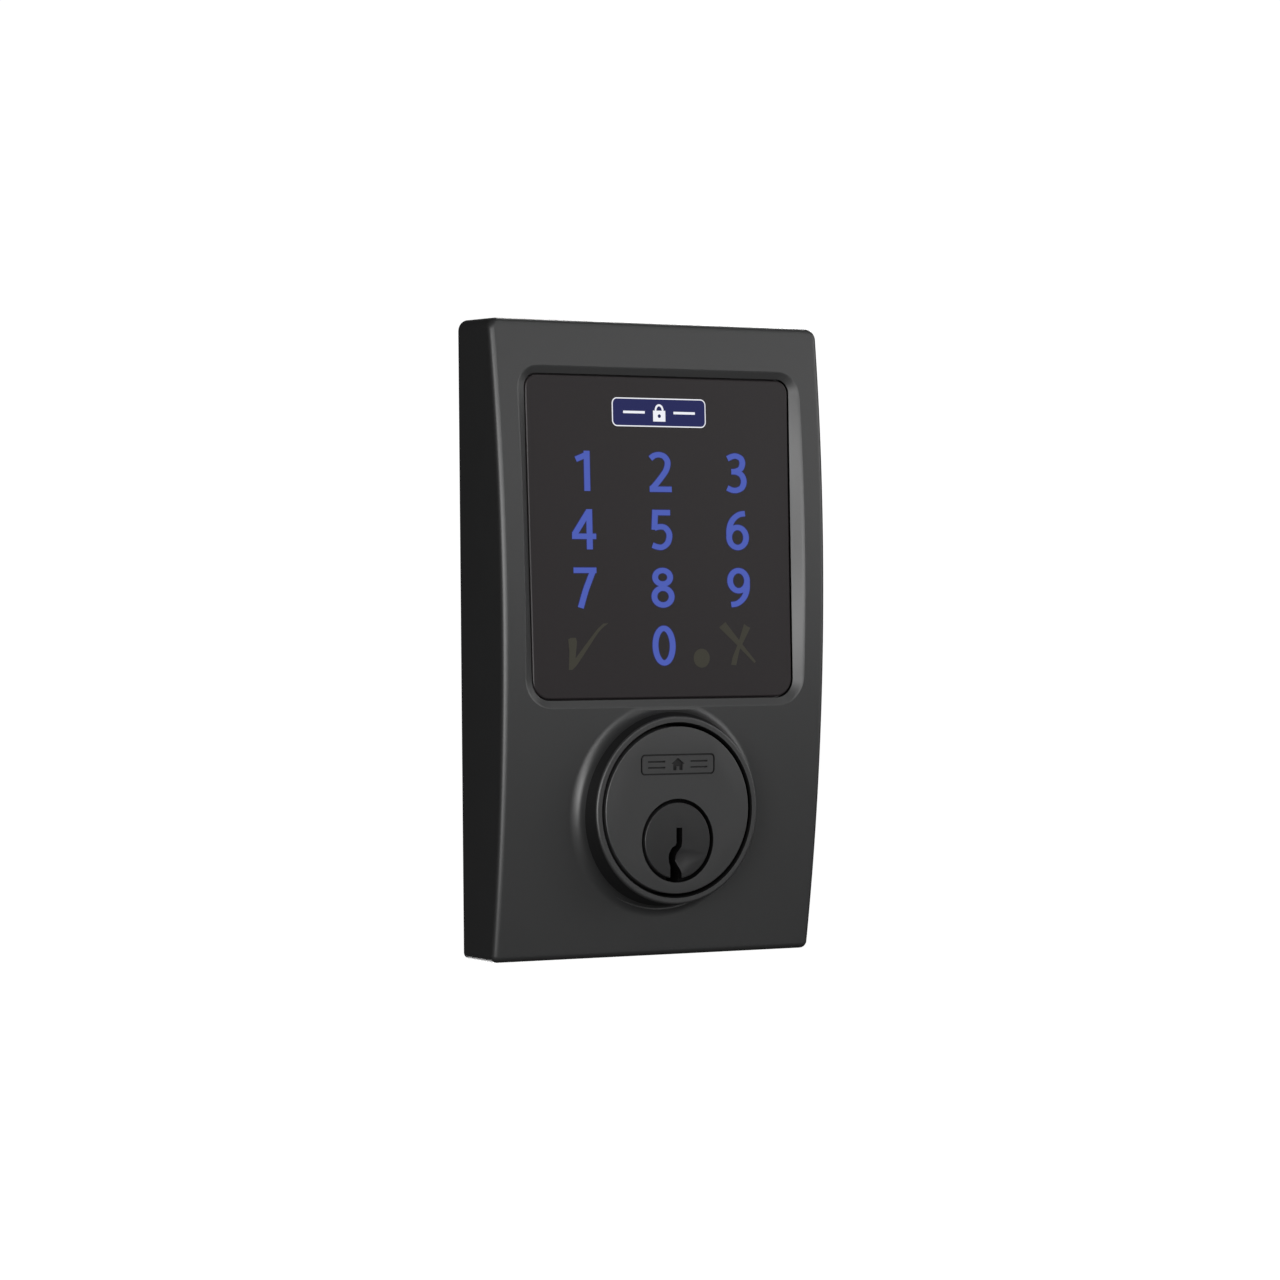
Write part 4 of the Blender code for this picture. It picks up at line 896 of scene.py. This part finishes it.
def make_plug():
    face_r, body_r, stub_r = 0.00767, 0.00645, 0.0050
    head, stub = 0.0013, 0.0025
    tail_y = HOUSING_HIGH.y
    stub_y = tail_y + stub
    profile = rounded_disc(face_r, FACE_Y, FACE_Y + head, FACE_ROUND)
    profile += [(body_r, FACE_Y + head), (body_r, tail_y)]
    thread = tail_y + 0.0002
    profile.append((stub_r, tail_y))
    while thread < stub_y - 0.0005:
        profile += [(stub_r, thread), (stub_r - 0.0002, thread + 0.0002), (stub_r, thread + 0.0004)]
        thread += 0.0005
    profile.append((stub_r, stub_y))
    # The keyway's faces take slot 1, painted in shade.
    looks = [PLUG_FINISH, PAINTED_SHADE_HOLLOW]
    plug = piece("key_plug", revolve(profile, segments=FINE), looks, PLUG, ("plug",))
    combine(plug, prism(keyway(), FACE_Y - 0.0005, tail_y - 0.0015, 1))
    guide = revolve(
        [(0.0, FACE_Y + 0.0007), (0.0020, FACE_Y - 0.00005), (0.0020, FACE_Y - 0.001)],
        (0.0001, -0.0039),
        segments=96,
    )
    combine(plug, guide)
    for number in range(1, 6):
        low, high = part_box(f"key_pin_{number}")
        y = (low.y + high.y) / 2
        combine(plug, rod(0.0015, -0.0015, 0.0131, (0.0, y), "Z", 32))
    low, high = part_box("plug")
    lug = []
    for radius, turns in ((0.0047, (75, 105)), (0.0026, (105, 75))):
        start, end = (radians(turn) for turn in turns)
        lug += arc((0.0, 0.0), radius, start, end, 8)
    combine(plug, prism(lug, stub_y - 0.0005, high.y), "UNION")
    combine(plug, rod(0.00185, stub_y - 0.0021, stub_y + 0.0005, segments=32))
    smooth(plug, 30.0)


# The rest of the CAD nodes


def refine(node, material, body, width=0.00012, angle=35.0, segments=2):
    """A copy of a CAD node with its facets joined and its edges rounded."""
    source = frame["nodes"][node]
    mesh = bmesh.new()
    mesh.from_mesh(source.data)
    bmesh.ops.remove_doubles(mesh, verts=mesh.verts, dist=1e-7)
    bmesh.ops.dissolve_limit(
        mesh, angle_limit=radians(1.0), verts=mesh.verts, edges=mesh.edges, delimit=set()
    )
    for face in mesh.faces:
        face.material_index = 0
    obj = piece(f"{node}_finished", mesh, material, body, (node,))
    if width:
        bevel = obj.modifiers.new("round", "BEVEL")
        bevel.width = width
        bevel.segments = segments
        bevel.limit_method = "ANGLE"
        bevel.angle_limit = radians(angle)
        bevel.use_clamp_overlap = True
        bevel.harden_normals = False
    smooth(obj, angle)
    return obj


def body_of(node):
    for body, members in frame["record"]["behaviour"]["bodies"].items():
        if node in members:
            return body
    return MODULE


def make_rest():
    done = {"casing", "touch_lens", "cylinder_housing", "plug"}
    for entry in frame["record"]["subparts"]:
        node = entry["node"]
        if node in done:
            continue
        refine(node, SLOT_FINISH[entry["material_slot"]], body_of(node))


# Stage, light and camera


def pale(name, colour, glow):
    material, tree, shader = node_tree(name)
    noise = add(tree, "ShaderNodeTexNoise", Scale=3.0, Detail=3.0)
    mix = add(tree, "ShaderNodeMix", data_type="RGBA")
    mix.inputs[6].default_value = (*[0.98 * c for c in colour], 1.0)
    mix.inputs[7].default_value = (*colour, 1.0)
    tree.links.new(noise.outputs["Fac"], mix.inputs[0])
    tree.links.new(mix.outputs[2], shader.inputs["Base Color"])
    shader.inputs["Roughness"].default_value = 0.9
    shader.inputs["Emission Color"].default_value = (1.0, 1.0, 1.0, 1.0)
    shader.inputs["Emission Strength"].default_value = glow
    return material


def make_floor():
    mesh = bmesh.new()
    bmesh.ops.create_grid(mesh, x_segments=2, y_segments=2, size=30.0)
    bmesh.ops.translate(mesh, verts=mesh.verts, vec=(0.0, 0.0, BOTTOM - 0.30))
    floor = piece("floor", mesh, pale("pale_floor", (0.9, 0.9, 0.9), 1.0), body=None)
    floor.visible_diffuse = False
    floor.visible_glossy = False


def make_world():
    world = bpy.data.worlds.new("studio")
    bpy.context.scene.world = world
    world.use_nodes = True
    tree = world.node_tree
    shade = tree.nodes["Background"]
    shade.inputs["Color"].default_value = (1.0, 1.0, 1.0, 1.0)
    path = tree.nodes.new("ShaderNodeLightPath")
    strength = tree.nodes.new("ShaderNodeMapRange")
    strength.inputs["To Min"].default_value = WORLD_FILL
    strength.inputs["To Max"].default_value = 1.05
    tree.links.new(path.outputs["Is Camera Ray"], strength.inputs["Value"])
    tree.links.new(strength.outputs["Result"], shade.inputs["Strength"])


WORLD_FILL = 0.012
LIGHT_DISTANCE = 1.3
LIGHT_SIZE = (0.55, 0.60)
# Name, azimuth from the front to the left, elevation, power
LIGHTS = (
    ("left_key", 50, 2, 12.6),
    ("left_front", 25, 5, 7.4),
    ("front", 0, 11, 5.3),
    ("right_front", -42, 14, 1.9),
    ("right_low", -31, -25, 0.3),
    ("right_high", -31, 50, 2.0),
    ("right_side", -65, 12, 3.6),
    ("back_right", -135, 30, 14.0),
    ("back_low", -165, -20, 8.0),
)


def area(name, azimuth, elevation, power):
    """A soft light that looks at the middle of the lock."""
    target = Vector((0.0, CROWN_Y, MIDDLE))
    a, e = radians(azimuth), radians(elevation)
    away = Vector((-sin(a) * cos(e), -cos(a) * cos(e), sin(e)))
    light = bpy.data.lights.new(name, "AREA")
    light.shape = "RECTANGLE"
    light.size, light.size_y = LIGHT_SIZE
    light.energy = power
    obj = bpy.data.objects.new(name, light)
    obj.location = target + LIGHT_DISTANCE * away
    obj.rotation_euler = away.to_track_quat("Z", "Y").to_euler()
    bpy.context.scene.collection.objects.link(obj)


def make_camera():
    yaw, pitch, roll = radians(31.191), radians(0.841), radians(0.096)
    target = Vector((0.003847, REAR_Y, MIDDLE - 0.00027))
    distance = 0.904578
    forward = Vector((sin(yaw) * cos(pitch), cos(yaw) * cos(pitch), -sin(pitch)))
    right = Vector((cos(yaw), -sin(yaw), 0.0))
    up = right.cross(forward)
    turned_right = cos(roll) * right + sin(roll) * up
    turned_up = -sin(roll) * right + cos(roll) * up
    data = bpy.data.cameras.new("camera")
    data.sensor_width = 36.0
    data.lens = 123.84
    data.clip_start = 0.01
    data.clip_end = 100.0
    camera = bpy.data.objects.new("camera", data)
    axes = Matrix((turned_right, turned_up, -forward)).transposed().to_4x4()
    camera.matrix_world = Matrix.Translation(target - distance * forward) @ axes
    bpy.context.scene.collection.objects.link(camera)
    bpy.context.scene.camera = camera


def main():
    bpy.context.scene.view_settings.view_transform = "Standard"
    make_casing()
    make_lens()
    make_marks()
    make_badge()
    make_housing()
    make_plug()
    make_rest()
    make_floor()
    make_world()
    for name, azimuth, elevation, power in LIGHTS:
        area(name, azimuth, elevation, power)
    make_camera()


main()
